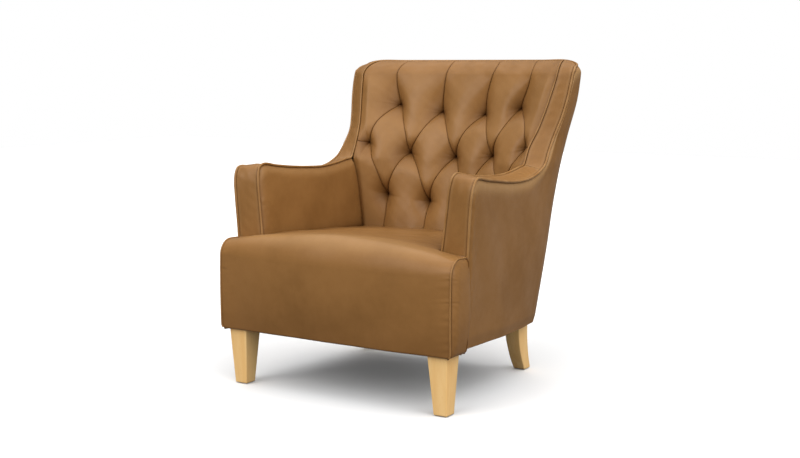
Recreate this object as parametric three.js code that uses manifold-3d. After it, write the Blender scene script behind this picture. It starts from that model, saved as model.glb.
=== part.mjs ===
// An upholstered chesterfield armchair: a tight crowned seat, scooped arms that run up into
// narrow wings, a diamond-tufted back that wraps round the sitter, tapered front legs and
// sabre rear legs. Millimetres, +Z up, seen from the front the sitter's left arm is at +X.
// Places are first written from the seat's front face (y = 0), and the whole chair is then moved
// so that the origin lies on the floor under the middle of its box.
import * as THREE from 'three';
import { mergeVertices } from 'three/addons/utils/BufferGeometryUtils.js';
import Module from 'manifold-3d';

const wasm = await Module();
wasm.setup();

// Overall sizes
const overallHeight = 920; // floor to the top border of the back
const outerHalf = 391; // half the width over the outside panels at the top
const clearHeight = 162; // floor to the underside of the upholstery
const rearCorner = 757; // depth of the top rear corners behind the seat's front face
const backBow = 60; // how far the outside back bows out behind its corners

// Arms and wings
const armFront = 90; // depth of the arm's front seam
const armHeight = 618; // floor to the front of the arm's outer seam
const armDrop = 29; // how far the arm's top dips behind its front corner
const armCorner = 32; // run of the rounded corner at the arm's front
const borderTuck = 19; // how far the border's lower end is tucked down behind the seat
const wingFootShare = 0.72; // cross seam where the arm's top ends, as a share of the depth
const wingTopShare = 0.9406; // the wing's outer seam at its top, the same
const wingHeadDrop = 32; // how far below the top border the wing's corner turns
const topCorner = 40; // radius of the upper corners seen from behind
const rollHeight = 42; // height over which the back's cover rolls over its top
const rollHalfShare = 0.8235; // half width of the roll at its rear edge, of the outer one
const rollGap = 6; // from the roll's rear edge to the rear seam
const rollPad = 4; // its padding there
const scoopRise = 3; // how far above the arm's front its inner seam meets the back
const sideFlare = 0.06; // how the outside panel widens towards the front
const wingFlare = -0.1; // the same high on the wing, where it draws in
const flareDrop = 8; // how far below the arm's height the one flare starts to turn
const flareRun = 100; // height over which it turns into the other
const armTaperShares = [0.016, 0.036]; // how the inside arm spreads forward, at the seat and the top

// Covers and padding
const gap = 0.3; // play between touching pieces
const softGap = 0.8; // play between curved soft pieces
const cornerGap = 2.2; // play where two covers turn inwards at a corner
const coverThickness = 6; // leather on its lining, outside panels
const borderThickness = 3.5; // leather of the borders
const skiveShare = 0.3; // how much thinner it is at a seam
const skiveRunShare = 0.2; // how far from the seam, as a share of the panel
const armPad = 28; // thickness of the inside arm's padding
const armPadTuck = 29; // how far the inside arm reaches down beside the seat
const armBulge = 4; // crown of the inside arm
const backPad = 42; // thickness of the tufted back
const backPadTop = 22; // its thickness at the top
const backPadThin = 700; // height where it starts to get thinner
const backTuck = 24; // how far the tufted back reaches down behind the seat
const rearTurn = 8; // radius at the lower rear edge of the body
const rearTurnShare = 0.75; // how much of the quarter circle it turns through
const sideBulge = 10; // crown of the outside panel
const borderBulge = 1.5; // crown of the borders

// Piping
const outerCord = 6; // diameter of the piping round the outside panels
const innerCord = 5; // diameter of the piping round the inside arms and back
const cordProud = 1.5; // how far the piping stands out of its seam
const cordGap = 0.6; // play beside it

// Tufts of the back
const tuftRow = 622; // height of the middle row at the centre
const tuftPitch = 136; // distance between the rows
const tuftRise = 49; // how far a row climbs towards the sides
const tuftDepth = 31; // depth of a tuft under the crowns
const pleatDepth = 9; // depth of the pleats between tufts
const tuftStepShare = 0.46; // distance of two tufts in a row, as a share of the half width
const pitShare = 0.32; // radius of the pit round a tuft, as a share of that distance
const openPleatShare = 0.4; // how deep the pleats still are at the back's top and foot
const pitStretchShare = 0.6; // how far the pits of the outer rows run on up or down

// Seat
const seatHalf = 385; // half the width of the seat's front block at its fullest
const seatEdge = 414; // height of the block's ends
const seatCrown = 35; // how far the crown stands over the ends, at the front
const seatFall = 18; // how far the seat's sides fall towards the back
const seatCrownRear = 7; // crown at the back
const seatRoundness = 3; // crown from front to back
const seatRadius = 44; // radius of the front top edge
const seatBulge = 5; // crown of the front face, seen from above
const seatSwellShare = 0.4; // crown of the front face from foot to top, as a share of that
const seatWall = 28; // padding in front of the front rail
const seatEndWall = 19; // padding at the ends of the block
const seatUnder = 330; // underside of the seat's padding

// Timber frame
const frameGap = 2; // play between the frame and the curved covers
const frameSetback = 10; // how far the arm's frame stays below its outer seam
const postInset = 26; // padding in front of the arm's post
const railLift = 3; // how far the seat rails stand above the upholstery's underside
const railTop = 300; // top of the seat rails
const railThickness = 32;
const sideRailThickness = 28;
const postDepth = 42;
const postDrop = 47; // how far the posts stay below the top border
const armPostDepth = 50;
const armRailHeight = 30;
const boardThickness = 22; // shaped board in each wing
const boardSetback = 14; // its distance behind the wing's outer seam
const boardPadding = 5; // wadding on its outer face
const boardTopShare = 0.4; // its height, as a share of the wing's
const crestDrop = 76; // lower edge of the crest rail, below the top border
const crestHeight = 38;
const tackLift = 4; // lower edge of the rail behind the lumbar, above the back's foot
const tackHeight = 48;
const tackThickness = 18;
const blockLeg = 78; // legs of the triangular corner blocks
const blockHeight = 70;
const blockLift = 6; // how far they stand above the rails' underside

// Springing and webbing
const springCount = 5;
const springWire = 4;
const springSwing = 22; // half the width of a spring's waves
const springWaves = 9;
const springEdge = 58.975; // from the posts' inner faces to the middle of the outermost springs
const springRest = 22; // length of a spring's end on its rail
const feltThickness = 5;
const feltInset = 6; // its distance from the cavity's walls
const strapWidth = 50;
const strapThickness = 1.5;
const strapPitch = 170;
const strapLap = 34; // length of a strap's end on its rail

// Legs
const legTop = 55; // width of the front leg at the top
const legDepth = 64; // its depth at the top
const legFoot = 39; // side of its square foot at the floor
const legEndInset = 28; // from the seat's end to the front leg's outer face
const legInset = 7; // how far its foot stands in from that face
const legFront = 19; // depth of its front face at the top
const legSetback = 13; // how far its foot stands back from that face
const rearLegReach = 14.3; // how far the rear leg stands out past the corner block
const rearLegInset = 8; // how far its foot stands in
const rearLegWidth = 50; // width at the top
const rearLegFootWidth = 37;
const rearLegAhead = 15.1; // from its front face at the top to its bolt
const rearLegDepth = 57; // depth at the top
const rearLegFootDepth = 38;
const rearLegSweep = 55; // how far the foot sweeps back
const legEase = 2; // eased edges
const glideRadius = 11;
const glideHeight = 2.5;
const glideStemRadius = 1.5;
const glideStem = 12;
const plateSide = 38; // steel plate on top of each leg
const boltRadius = 4;
const boltInLeg = 38; // length of the hanger bolt below the plate
const boltInFrame = 52; // length above it
const boltInset = 10; // distance of the rear bolts from the corner block's sides
const linerThickness = 1.4; // black cloth under the seat
const linerInset = 3; // distance of its edge from the outside panel's inner face
const linerFront = 32;
const linerNotchShare = 1.2; // notch round each plate, as a share of the plate

const leather = new THREE.MeshStandardMaterial({ color: 0x9c7446, roughness: 0.5, metalness: 0 });
const cordLeather = new THREE.MeshStandardMaterial({ color: 0x8a6238, roughness: 0.5, metalness: 0 });
const maple = new THREE.MeshStandardMaterial({ color: 0xe0b67a, roughness: 0.45, metalness: 0 });
const poplar = new THREE.MeshStandardMaterial({ color: 0xc9b48c, roughness: 0.8, metalness: 0 });
const steel = new THREE.MeshStandardMaterial({ color: 0x9a9da1, roughness: 0.35, metalness: 1 });
const foam = new THREE.MeshStandardMaterial({ color: 0xe9dfb4, roughness: 0.95, metalness: 0 });
const felt = new THREE.MeshStandardMaterial({ color: 0x77726a, roughness: 1, metalness: 0 });
const webbing = new THREE.MeshStandardMaterial({ color: 0x3c3a38, roughness: 0.9, metalness: 0 });
const blackCloth = new THREE.MeshStandardMaterial({ color: 0x1b1b1c, roughness: 1, metalness: 0 });
const nylon = new THREE.MeshStandardMaterial({ color: 0x2a2624, roughness: 0.6, metalness: 0 });

const { lerp, clamp, smoothstep } = THREE.MathUtils;
const point = (x, y, z) => new THREE.Vector3(x, y, z);
const sides = { left: -1, right: 1 };

// A smooth function through a table, level past its two ends.
function throughTable(places, values) {
  const last = places.length - 1;
  const slopes = places.map((_, i) => {
    const before = Math.max(i - 1, 0);
    const after = Math.min(i + 1, last);
    return (values[after] - values[before]) / (places[after] - places[before]);
  });
  return (place) => {
    const at = clamp(place, places[0], places[last]);
    let i = 0;
    while (i < last - 1 && at > places[i + 1]) i += 1;
    const step = places[i + 1] - places[i];
    const t = (at - places[i]) / step;
    const rise = t * t * (3 - 2 * t);
    const bend = t * (1 - t) * ((1 - t) * slopes[i] - t * slopes[i + 1]) * step;
    return values[i] + (values[i + 1] - values[i]) * rise + bend;
  };
}

// Heights and places that follow from others.
const wingHead = overallHeight - wingHeadDrop;
const wingFoot = wingFootShare * rearCorner;
const wingTop = wingTopShare * rearCorner;
const scoopHeight = armHeight + scoopRise;
const flareStart = armHeight - flareDrop;
const seatRear = seatEdge - seatFall;
const backFoot = seatRear - backTuck;
const borderFoot = seatEdge - borderTuck;
const armPadFoot = seatEdge - armPadTuck;
const railFoot = clearHeight + railLift;
const legOuter = seatHalf - legEndInset;

// The rear corner of the body, from the underside to the top.
const rearHeightShares = [0, 0.27, 0.44, 0.58, 0.71, 0.85, 1];
const rearHalfShares = [0.824, 0.872, 0.888, 0.907, 0.939, 0.984, 1];
const rearDepthShares = [0.797, 0.841, 0.875, 0.909, 0.941, 0.975, 1];
const rearHeights = rearHeightShares.map((share) => lerp(clearHeight, overallHeight, share));
const fullHalf = throughTable(rearHeights, rearHalfShares.map((share) => share * outerHalf));
const rearLine = throughTable(rearHeights, rearDepthShares.map((share) => share * rearCorner));

// The upper corners are rounded.
function rearHalf(z) {
  const into = clamp((z - (overallHeight - topCorner)) / topCorner, 0, 1);
  return fullHalf(z) - topCorner * (1 - Math.sqrt(1 - into * into));
}

// The lower rear edge turns under.
function rearDepth(z) {
  const under = clamp(1 - (z - clearHeight) / rearTurn, 0, 1);
  return rearLine(z) - rearTurn * (1 - Math.sqrt(1 - under * under * rearTurnShare));
}

// Half width of the outside panel's face at a depth and height.
function sideX(y, z) {
  const flare = lerp(sideFlare, wingFlare, smoothstep(z, flareStart, flareStart + flareRun));
  return rearHalf(z) + (rearDepth(z) - y) * flare;
}

// Depth of the outside back's face.
function rearFace(x, z) {
  const across = x / fullHalf(z);
  return rearDepth(z) + backBow * (1 - across * across);
}

// The side seam of the inside back and the crown of its middle. Each row: height, half width,
// depth of the seam and depth of the middle. Heights are shares of the stretch below the scoop
// or above it, the others of the outer half width and of the rear corner's depth.
const lowSeamShares = [
  [0, 0.725, 0.779, 0.795],
  [0.11, 0.729, 0.777, 0.805],
  [0.51, 0.749, 0.76, 0.841],
  [0.91, 0.766, 0.744, 0.874],
  [1, 0.77, 0.743, 0.882],
];
const highSeamShares = [
  [0.16, 0.774, 0.775, 0.906],
  [0.355, 0.806, 0.827, 0.936],
  [0.62, 0.846, 0.871, 0.971],
  [0.827, 0.871, 0.902, 0.994],
  [1, 0.882, 0.927, 1.013],
];
const seamRows = [
  ...lowSeamShares.map((row) => [lerp(backFoot, scoopHeight, row[0]), ...row.slice(1)]),
  ...highSeamShares.map((row) => [lerp(scoopHeight, overallHeight, row[0]), ...row.slice(1)]),
];
const seamHeights = seamRows.map((row) => row[0]);
const seamX = throughTable(seamHeights, seamRows.map((row) => row[1] * outerHalf));
const seamY = throughTable(seamHeights, seamRows.map((row) => row[2] * rearCorner));
const middleY = throughTable(seamHeights, seamRows.map((row) => row[3] * rearCorner));

// Depth of the inside back before it is tufted: a hollow that is deepest in the middle.
function backFace(x, z) {
  const across = x / seamX(z);
  return seamY(z) + (middleY(z) - seamY(z)) * (1 - across * across);
}

// Above rollFoot the cover rolls back over the top to the rear seam. across runs from one side
// seam to the other and turn from 0 to a quarter circle; inset keeps it clear of the side seam.
const rollFoot = overallHeight - rollHeight;
function rollPoint(across, turn, inset = 0) {
  const rolled = 1 - Math.cos(turn);
  const x = across * (lerp(seamX(rollFoot), rollHalfShare * outerHalf, rolled) - inset);
  const z = rollFoot + rollHeight * Math.sin(turn);
  const reach = rearFace(x, overallHeight) - rollGap - backFace(x, overallHeight);
  return point(x, backFace(x, z) + reach * rolled, z);
}

// Half width of the inside arm's face, and the same with its crown.
function armX(y, z) {
  const up = clamp((z - borderFoot) / (scoopHeight - borderFoot), 0, 1);
  return seamX(z) + (seamY(z) - y) * lerp(armTaperShares[0], armTaperShares[1], up);
}

function armFaceX(y, z) {
  const up = clamp((z - armPadFoot) / (armHeight - armPadFoot), 0, 1);
  return armX(y, z) - armBulge * Math.sin(Math.PI * up);
}

// Stations of the border that runs up the arm's front, over its top and up the wing. Each row:
// outer seam along and up, inner seam along and up, as shares of the stretch that it lies in.
const straightRows = 4; // the first of these, up to where the arm's corner starts to turn
const frontShares = [
  [0, 0, 0.16, 0],
  [-0.02, 0.29, 0.25, 0.29],
  [-0.06, 0.56, 0.3, 0.56],
  [0, 0.816, 0.36, 0.83],
  [0.22, 0.924, 0.5, 0.93],
  [0.53, 0.982, 0.75, 1],
  [1, 1, 1.375, 1.036],
];
const topShares = [
  [0.137, 0.276, 0.161, 0],
  [0.314, 0.586, 0.326, 0.276],
  [0.515, 0.9, 0.515, 0.48],
  [0.678, 1, 0.678, 0.55],
  [0.823, 0.91, 0.823, 0.38],
  [0.93, 0.655, 0.953, 0.1],
  [1, 0.31, 1.03, -0.08],
];
const wingShares = [
  [0.18, 0.057, 0.1],
  [0.36, 0.178, 0.214],
  [0.569, 0.338, 0.381],
  [0.713, 0.509, 0.537],
  [0.82, 0.698, 0.708],
  [0.922, 0.893, 0.886],
  [1, 1, 0.964],
];
const armRun = wingFoot - armFront - armCorner;
const armRise = armHeight - borderFoot;
const wingStart = armHeight - topShares.at(-1)[1] * armDrop;
const outerPoint = (y, z) => point(sideX(y, z), y, z);
const innerPoint = (y, z) => point(armX(y, z), y, z);
const seamPoint = (z) => z < rollFoot ? point(seamX(z), seamY(z), z)
  : rollPoint(1, Math.asin((z - rollFoot) / rollHeight));

const stations = [
  ...frontShares.map(([along, up, innerAlong, innerUp]) => [
    outerPoint(armFront + along * armCorner, borderFoot + up * armRise),
    innerPoint(armFront + innerAlong * armCorner, borderFoot + innerUp * armRise),
  ]),
  ...topShares.map(([along, drop, innerAlong, innerDrop]) => [
    outerPoint(armFront + armCorner + along * armRun, armHeight - drop * armDrop),
    innerPoint(armFront + armCorner + innerAlong * armRun, armHeight - innerDrop * armDrop),
  ]),
  ...wingShares.map(([along, up, innerUp]) => [
    outerPoint(lerp(wingFoot, wingTop, along), lerp(wingStart, wingHead, up)),
    seamPoint(lerp(wingStart, wingHead, innerUp)),
  ]),
];
const crossSeam = frontShares.length + topShares.length - 1;
const wingEnd = stations.length - 1;

// The outer seam goes on round the upper corner and along the top to just past the middle.
const topCornerShares = [0.97, 0.88, 0.7];
const topAcrossShares = [0.93, 0.85, 0.62, 0.4, 0.2, 0];
function rearPoint(across) {
  const x = outerHalf * across;
  const into = clamp((x - outerHalf + topCorner) / topCorner, 0, 1);
  const z = overallHeight - topCorner * (1 - Math.sqrt(1 - into * into));
  return point(x, rearFace(x, z), z);
}
const cornerPoints = topCornerShares.map((share) => {
  const corner = rearPoint(lerp(1 - topCorner / outerHalf, 1, share));
  const turned = clamp((1 - share) / (1 - topCornerShares.at(-1)), 0, 1);
  return corner.setY(lerp(wingTop, corner.y, Math.sqrt(turned)));
});
const topPoints = [...topAcrossShares, -topAcrossShares.at(-2)].map(rearPoint);

// The inner seam turns over the roll and ends beside the outer one: shares of its turn.
const tipTurnShares = [0.28, 0.44, 0.62, 0.81, 1];
const tipPoints = tipTurnShares.map((share) => rollPoint(1, (share * Math.PI) / 2));
const tip = wingEnd + tipTurnShares.length;

// Each stretch between two stations is divided along smooth curves through all of them. At each
// place: the two seams, the direction along the border, the direction across it from the outer
// to the inner seam, and the direction into the body, at right angles to its face. Past the
// border's tip the direction across turns forward, over the roll.
const fineness = 4;
const outerRun = [...stations.map(([outer]) => outer), ...cornerPoints, ...topPoints];
const innerRun = [...stations.map(([, inner]) => inner), ...tipPoints];
const [outerCurve, innerCurve] = [outerRun, innerRun].map((run) => {
  return new THREE.CatmullRomCurve3(run, false, 'centripetal');
});
const crossAt = crossSeam * fineness;
const tipAt = tip * fineness;
const forward = point(0, -1, 0);
const sidePlaces = Array.from({ length: (outerRun.length - 2) * fineness + 1 }, (_, i) => {
  const outerShare = i / fineness / (outerRun.length - 1);
  const innerShare = Math.min(i / tipAt, 1);
  const outer = outerCurve.getPoint(outerShare);
  const inner = innerCurve.getPoint(innerShare);
  const along = outerCurve.getTangent(outerShare);
  const across = inner.clone().sub(outer).normalize();
  if (i <= tipAt) along.add(innerCurve.getTangent(innerShare)).normalize();
  else across.copy(tipAcross(i)).addScaledVector(along, -along.dot(tipAcross(i))).normalize();
  const into = across.clone().cross(along).normalize();
  return { outer, inner, along, across, into };
});
function tipAcross(i) {
  const across = innerRun.at(-1).clone().sub(outerRun[tip]).normalize();
  return across.lerp(forward, smoothstep(i, tipAt, tipAt + 2 * fineness)).normalize();
}
const flipX = (p) => point(-p.x, p.y, p.z);
const flipPlace = ({ outer, inner, along, across, into }) => ({
  outer: flipX(outer),
  inner: flipX(inner),
  along: flipX(along).negate(),
  across: flipX(across),
  into: flipX(into),
});
const farPlaces = sidePlaces.slice(0, -1).reverse().map(flipPlace);
const allPlaces = [...sidePlaces, ...farPlaces];

// Outer seam as the arm's height over its depth, and as the wing's depth over its height.
const armTop = stations.slice(straightRows - 1, crossSeam + 1).map(([outer]) => outer);
const armTopZ = throughTable(armTop.map((p) => p.y), armTop.map((p) => p.z));
const wingSeam = stations.slice(crossSeam).map(([outer]) => outer);
const wingY = throughTable(wingSeam.map((p) => p.z), wingSeam.map((p) => p.y));

// Geometry from points and triangles, turned so that its faces point outwards.
function closedGeometry(points, triangles) {
  let volume = 0;
  for (const [a, b, c] of triangles) {
    volume += points[a].dot(points[b].clone().cross(points[c]));
  }
  const index = triangles.flatMap(([a, b, c]) => (volume < 0 ? [a, c, b] : [a, b, c]));
  const geometry = new THREE.BufferGeometry();
  const positions = points.flatMap((p) => [p.x, p.y, p.z]);
  geometry.setAttribute('position', new THREE.Float32BufferAttribute(positions, 3));
  geometry.setIndex(index);
  return geometry;
}

// A solid between two sheets. Each sheet gives a point for u and v; the far sheet takes every
// second of the near sheet's lines. slant says which way a cell of the near sheet is split.
function slab(near, far, us, vs, slant = () => false) {
  const points = [];
  const triangles = [];
  const grid = (sheet, columns, rows) => {
    const start = points.length;
    for (const u of columns) for (const v of rows) points.push(sheet(u, v));
    return (i, j) => start + i * rows.length + j;
  };
  const cell = (a, b, c, d, other) => {
    if (other) triangles.push([a, b, d], [b, c, d]);
    else triangles.push([a, b, c], [a, c, d]);
  };
  const farUs = us.filter((_, i) => i % 2 === 0);
  const farVs = vs.filter((_, j) => j % 2 === 0);
  const nearAt = grid(near, us, vs);
  const farAt = grid(far, farUs, farVs);
  const last = [us.length - 1, vs.length - 1];
  const farLast = [farUs.length - 1, farVs.length - 1];
  for (let i = 0; i < last[0]; i += 1) {
    for (let j = 0; j < last[1]; j += 1) {
      const other = slant((us[i] + us[i + 1]) / 2, (vs[j] + vs[j + 1]) / 2);
      cell(nearAt(i, j), nearAt(i + 1, j), nearAt(i + 1, j + 1), nearAt(i, j + 1), other);
    }
  }
  for (let i = 0; i < farLast[0]; i += 1) {
    for (let j = 0; j < farLast[1]; j += 1) {
      cell(farAt(i, j), farAt(i, j + 1), farAt(i + 1, j + 1), farAt(i + 1, j), false);
    }
  }
  const wall = (nearEdge, farEdge, steps) => {
    for (let k = 0; k < steps; k += 1) {
      const [n0, n1, n2] = [nearEdge(2 * k), nearEdge(2 * k + 1), nearEdge(2 * k + 2)];
      const [f0, f1] = [farEdge(k), farEdge(k + 1)];
      triangles.push([n0, f0, n1], [f0, f1, n1], [n1, f1, n2]);
    }
  };
  wall((i) => nearAt(i, 0), (i) => farAt(i, 0), farLast[0]);
  wall((i) => nearAt(last[0] - i, last[1]), (i) => farAt(farLast[0] - i, farLast[1]), farLast[0]);
  wall((j) => nearAt(0, last[1] - j), (j) => farAt(0, farLast[1] - j), farLast[1]);
  wall((j) => nearAt(last[0], j), (j) => farAt(last[0] / 2, j), farLast[1]);
  return closedGeometry(points, triangles);
}

// Even steps from one value to another; the count is even, as a slab needs.
const steps = (count, from = 0, to = 1) =>
  Array.from({ length: count + 1 }, (_, i) => lerp(from, to, i / count));

// Even steps in each stretch between some values.
const stretches = (values, counts) =>
  counts.flatMap((count, i) => steps(count, values[i], values[i + 1]).slice(i > 0 ? 1 : 0));

// A solid through a row of closed outlines with the same number of points.
function loft(sections, flatten) {
  const count = sections[0].length;
  const points = sections.flat();
  const triangles = [];
  for (let i = 0; i < sections.length - 1; i += 1) {
    for (let j = 0; j < count; j += 1) {
      const a = i * count + j;
      const b = i * count + ((j + 1) % count);
      triangles.push([a, b, b + count], [a, b + count, a + count]);
    }
  }
  const outline = sections[0].map(flatten);
  const top = (sections.length - 1) * count;
  for (const [a, b, c] of THREE.ShapeUtils.triangulateShape(outline, [])) {
    triangles.push([c, b, a], [top + a, top + b, top + c]);
  }
  if (THREE.ShapeUtils.area(outline) < 0) {
    for (const triangle of triangles.slice(2 * count * (sections.length - 1))) triangle.reverse();
  }
  return closedGeometry(points, triangles);
}

const flattenXY = (p) => new THREE.Vector2(p.x, p.y);
const flattenYZ = (p) => new THREE.Vector2(p.y, p.z);

// A round cord or wire along a curve.
function cord(curve, radius, facets, stepCount) {
  const outline = Array.from({ length: facets }, (_, i) => {
    const turn = (2 * Math.PI * i) / facets;
    return new THREE.Vector2(radius * Math.cos(turn), radius * Math.sin(turn));
  });
  const options = { steps: stepCount, bevelEnabled: false, extrudePath: curve };
  return new THREE.ExtrudeGeometry(new THREE.Shape(outline), options);
}

function toSolid(geometry) {
  const bare = geometry.index ? geometry.clone() : geometry;
  bare.deleteAttribute('normal');
  bare.deleteAttribute('uv');
  const merged = mergeVertices(bare);
  return new wasm.Manifold(
    new wasm.Mesh({
      numProp: 3,
      vertProperties: new Float32Array(merged.attributes.position.array),
      triVerts: new Uint32Array(merged.index.array),
    }),
  );
}

function fromSolid(solid) {
  const mesh = solid.getMesh();
  const geometry = new THREE.BufferGeometry();
  geometry.setAttribute('position', new THREE.BufferAttribute(mesh.vertProperties, 3));
  geometry.setIndex(new THREE.BufferAttribute(mesh.triVerts, 1));
  return geometry;
}

function cut(geometry, ...tools) {
  return fromSolid(tools.reduce((body, tool) => body.subtract(toSolid(tool)), toSolid(geometry)));
}

// An upright round bar between two heights.
function bar(radius, x, y, from, to, facets = 12) {
  const geometry = new THREE.CylinderGeometry(radius, radius, to - from, facets);
  geometry.rotateX(Math.PI / 2);
  geometry.translate(x, y, (from + to) / 2);
  return geometry;
}

function block(low, high) {
  const size = high.clone().sub(low);
  const geometry = new THREE.BoxGeometry(size.x, size.y, size.z);
  geometry.translate((low.x + high.x) / 2, (low.y + high.y) / 2, (low.z + high.z) / 2);
  return geometry;
}

const chair = new THREE.Group();
chair.position.y = -(rearCorner + backBow + cordProud) / 2;

function add(name, geometry, material) {
  const mesh = new THREE.Mesh(geometry, material);
  mesh.name = name;
  chair.add(mesh);
  return mesh;
}

// The same piece on both sides, built at +X and mirrored to -X.
function addPair(name, makeGeometry, material) {
  for (const [side, sign] of Object.entries(sides)) {
    const geometry = makeGeometry();
    if (sign < 0) mirror(geometry);
    add(`${name}_${side}`, geometry, material);
  }
}

function mirror(geometry) {
  geometry.scale(-1, 1, 1);
  if (!geometry.index) geometry.setIndex([...Array(geometry.attributes.position.count).keys()]);
  const { array } = geometry.index;
  for (let i = 0; i < array.length; i += 3) {
    [array[i + 1], array[i + 2]] = [array[i + 2], array[i + 1]];
  }
}

// Seat: a front block as wide as the chair and a deck that runs back between the arms, in one
// crowned form. It is hollow below, where the rails and springs lie.
const seatBack = armFront - cordProud - softGap;
const deckRear = (x, z) => backFace(clamp(x, -seamX(z), seamX(z)), z) - 2 * softGap;

function seatTop(across, y) {
  const along = clamp((y - armFront) / (deckRear(0, backFoot) - armFront), -1, 1);
  const edge = lerp(seatEdge, seatRear, along);
  const crown = lerp(seatCrown, seatCrownRear, Math.max(along, 0));
  const round = seatRoundness * 4 * Math.max(along, 0) * (1 - along);
  return edge + crown * (1 - across * across) + round;
}

const endHeightShares = [0, 0.15, 0.45, 0.8, 0.95, 1.02];
const endHalfShares = [0.981, 0.993, 1, 0.998, 0.988, 0.97];
const endHeights = endHeightShares.map((share) => lerp(clearHeight, seatEdge, share));
const blockHalf = throughTable(endHeights, endHalfShares.map((share) => share * seatHalf));

const seatSwell = seatBulge * seatSwellShare;

function seatSection(across) {
  const front = seatBulge * across * across;
  const outline = [];
  const arcTop = seatTop(across, seatRadius);
  const arcFoot = arcTop - seatRadius;
  for (const up of steps(4)) {
    const z = lerp(clearHeight, arcFoot, up);
    outline.push([front + seatSwell * (2 * up - 1) ** 2, z]);
  }
  for (const turn of steps(6, 0, Math.PI / 2).slice(1)) {
    const y = front + seatSwell * Math.cos(turn) + seatRadius * (1 - Math.cos(turn));
    outline.push([y, arcFoot + seatRadius * Math.sin(turn)]);
  }
  const rearAt = (z) => deckRear(across * blockHalf(z), z);
  const foot = rearAt(backFoot);
  const rear = rearAt(seatTop(across, foot));
  const topFrom = front + seatRadius;
  for (const back of steps(10).slice(1)) {
    const y = lerp(topFrom, rear, back);
    outline.push([y, seatTop(across, y)]);
  }
  outline.push([foot, backFoot], [foot, seatUnder], [seatBack, seatUnder], [seatBack, clearHeight]);
  return outline.map(([y, z]) => point(across * blockHalf(z), y, z));
}

function seatGeometry() {
  const acrossShares = [-1, -0.975, -0.92, -0.85, -0.765, -0.71, -0.65, -0.5, -0.33, -0.17, 0];
  const mirrored = acrossShares.slice(0, -1).reverse().map((share) => -share);
  const blank = loft([...acrossShares, ...mirrored].map(seatSection), flattenYZ);
  const cavity = block(
    point(-cavityHalf, seatWall, clearHeight - seatWall),
    point(cavityHalf, seatBack + seatWall, seatUnder),
  );
  const notches = [armNotch, armNotch, cordNotch, cordNotch].map((make) => make());
  notches.filter((_, i) => i % 2 === 1).forEach(mirror);
  return cut(blank, cavity, ...notches);
}

// Room for the lower end of the arm's inner piping.
function cordNotch() {
  const foot = stations[0][1];
  const reach = point(innerCord, innerCord, armPad);
  return block(foot.clone().sub(reach), foot.clone().add(reach).setZ(seatEdge + seatCrown));
}

// The space that an arm takes beside the deck.
function armNotch() {
  const inner = (u, v) => {
    const y = lerp(seatBack, rearCorner, u);
    const z = lerp(seatUnder - armPad, seatEdge + seatCrown, v);
    return point(armFaceX(y, Math.max(z, armPadFoot)) - gap, y, z);
  };
  const outer = (u, v) => {
    const edge = inner(u, v);
    return point(outerHalf + armPad, edge.y, edge.z);
  };
  return slab(inner, outer, steps(8), steps(6));
}

// Tufted back: three rows of deep tufts joined by diamond pleats. p counts tufts across and q
// counts rows up from the middle row.
const tuftReach = 1 / tuftStepShare;
const rowFoot = (backFoot - tuftRow) / tuftPitch;
const rowTop = (rollFoot - tuftRow) / tuftPitch;
const toNearest = (value) => Math.abs(value - Math.round(value));
const pleat = (distance) => (1 - 2 * distance) ** 2;

function tuftInset(p, q) {
  const row = clamp(q, -1, 1);
  const one = toNearest(p + row / 2);
  const two = toNearest(p - row / 2);
  const edgeFade = 1 - smoothstep(Math.abs(p), 2, tuftReach);
  const endFade = lerp(1, openPleatShare, smoothstep(Math.abs(q), 1, 2));
  const fold = Math.max(pleat(one), pleat(two)) * edgeFade * endFade;
  const away = Math.hypot(one, two, (q - row) * pitStretchShare);
  const pit = Math.max(1 - away / pitShare, 0) ** 2 * edgeFade;
  return pleatDepth * fold + (tuftDepth - pleatDepth) * pit;
}

// Height of a row at a place across: the rows climb towards the sides, the edges do not.
function rowHeight(p, q) {
  const across = p / tuftReach;
  const toFoot = (q - rowFoot) / (-1 - rowFoot);
  const toTop = (rowTop - q) / (rowTop - 1);
  const hold = clamp(Math.min(toFoot, toTop), 0, 1);
  return tuftRow + tuftPitch * q + tuftRise * across * across * hold;
}

function padDepth(z) {
  return lerp(backPad, backPadTop, smoothstep(z, backPadThin, overallHeight));
}

const seamPlay = innerCord / 2 + cordGap;
function backPoint(p, q, depth) {
  const z = rowHeight(p, q);
  const x = (p / tuftReach) * (seamX(z) - seamPlay);
  return point(x, backFace(x, z) + depth(z), z);
}

// The same on the roll, where turned runs from 0 at its foot to 1 at its rear edge.
function overPoint(p, turned, depth) {
  const turn = (turned * Math.PI) / 2;
  const place = rollPoint(p / tuftReach, turn, seamPlay * (1 + turned));
  return place.add(point(0, Math.cos(turn), -Math.sin(turn)).multiplyScalar(depth));
}

function tuftedBackGeometry() {
  const columns = stretches([-tuftReach, -2, 2, tuftReach], [2, 40, 2]);
  const rows = stretches([rowFoot, -1, 1, rowTop, rowTop + 1], [4, 10, 6, 8]);
  const near = (p, q) => {
    const inset = tuftInset(p, q);
    const turned = q - rowTop;
    return turned < 0 ? backPoint(p, q, () => inset) : overPoint(p, turned, inset * (1 - turned));
  };
  const far = (p, q) => {
    const turned = q - rowTop;
    if (turned < 0) return backPoint(p, q, padDepth);
    return overPoint(p, turned, lerp(padDepth(rollFoot), rollPad, turned));
  };
  const slant = (p, q) => toNearest(p + q / 2) < toNearest(p - q / 2);
  return slab(near, far, columns, rows, slant);
}

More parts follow.
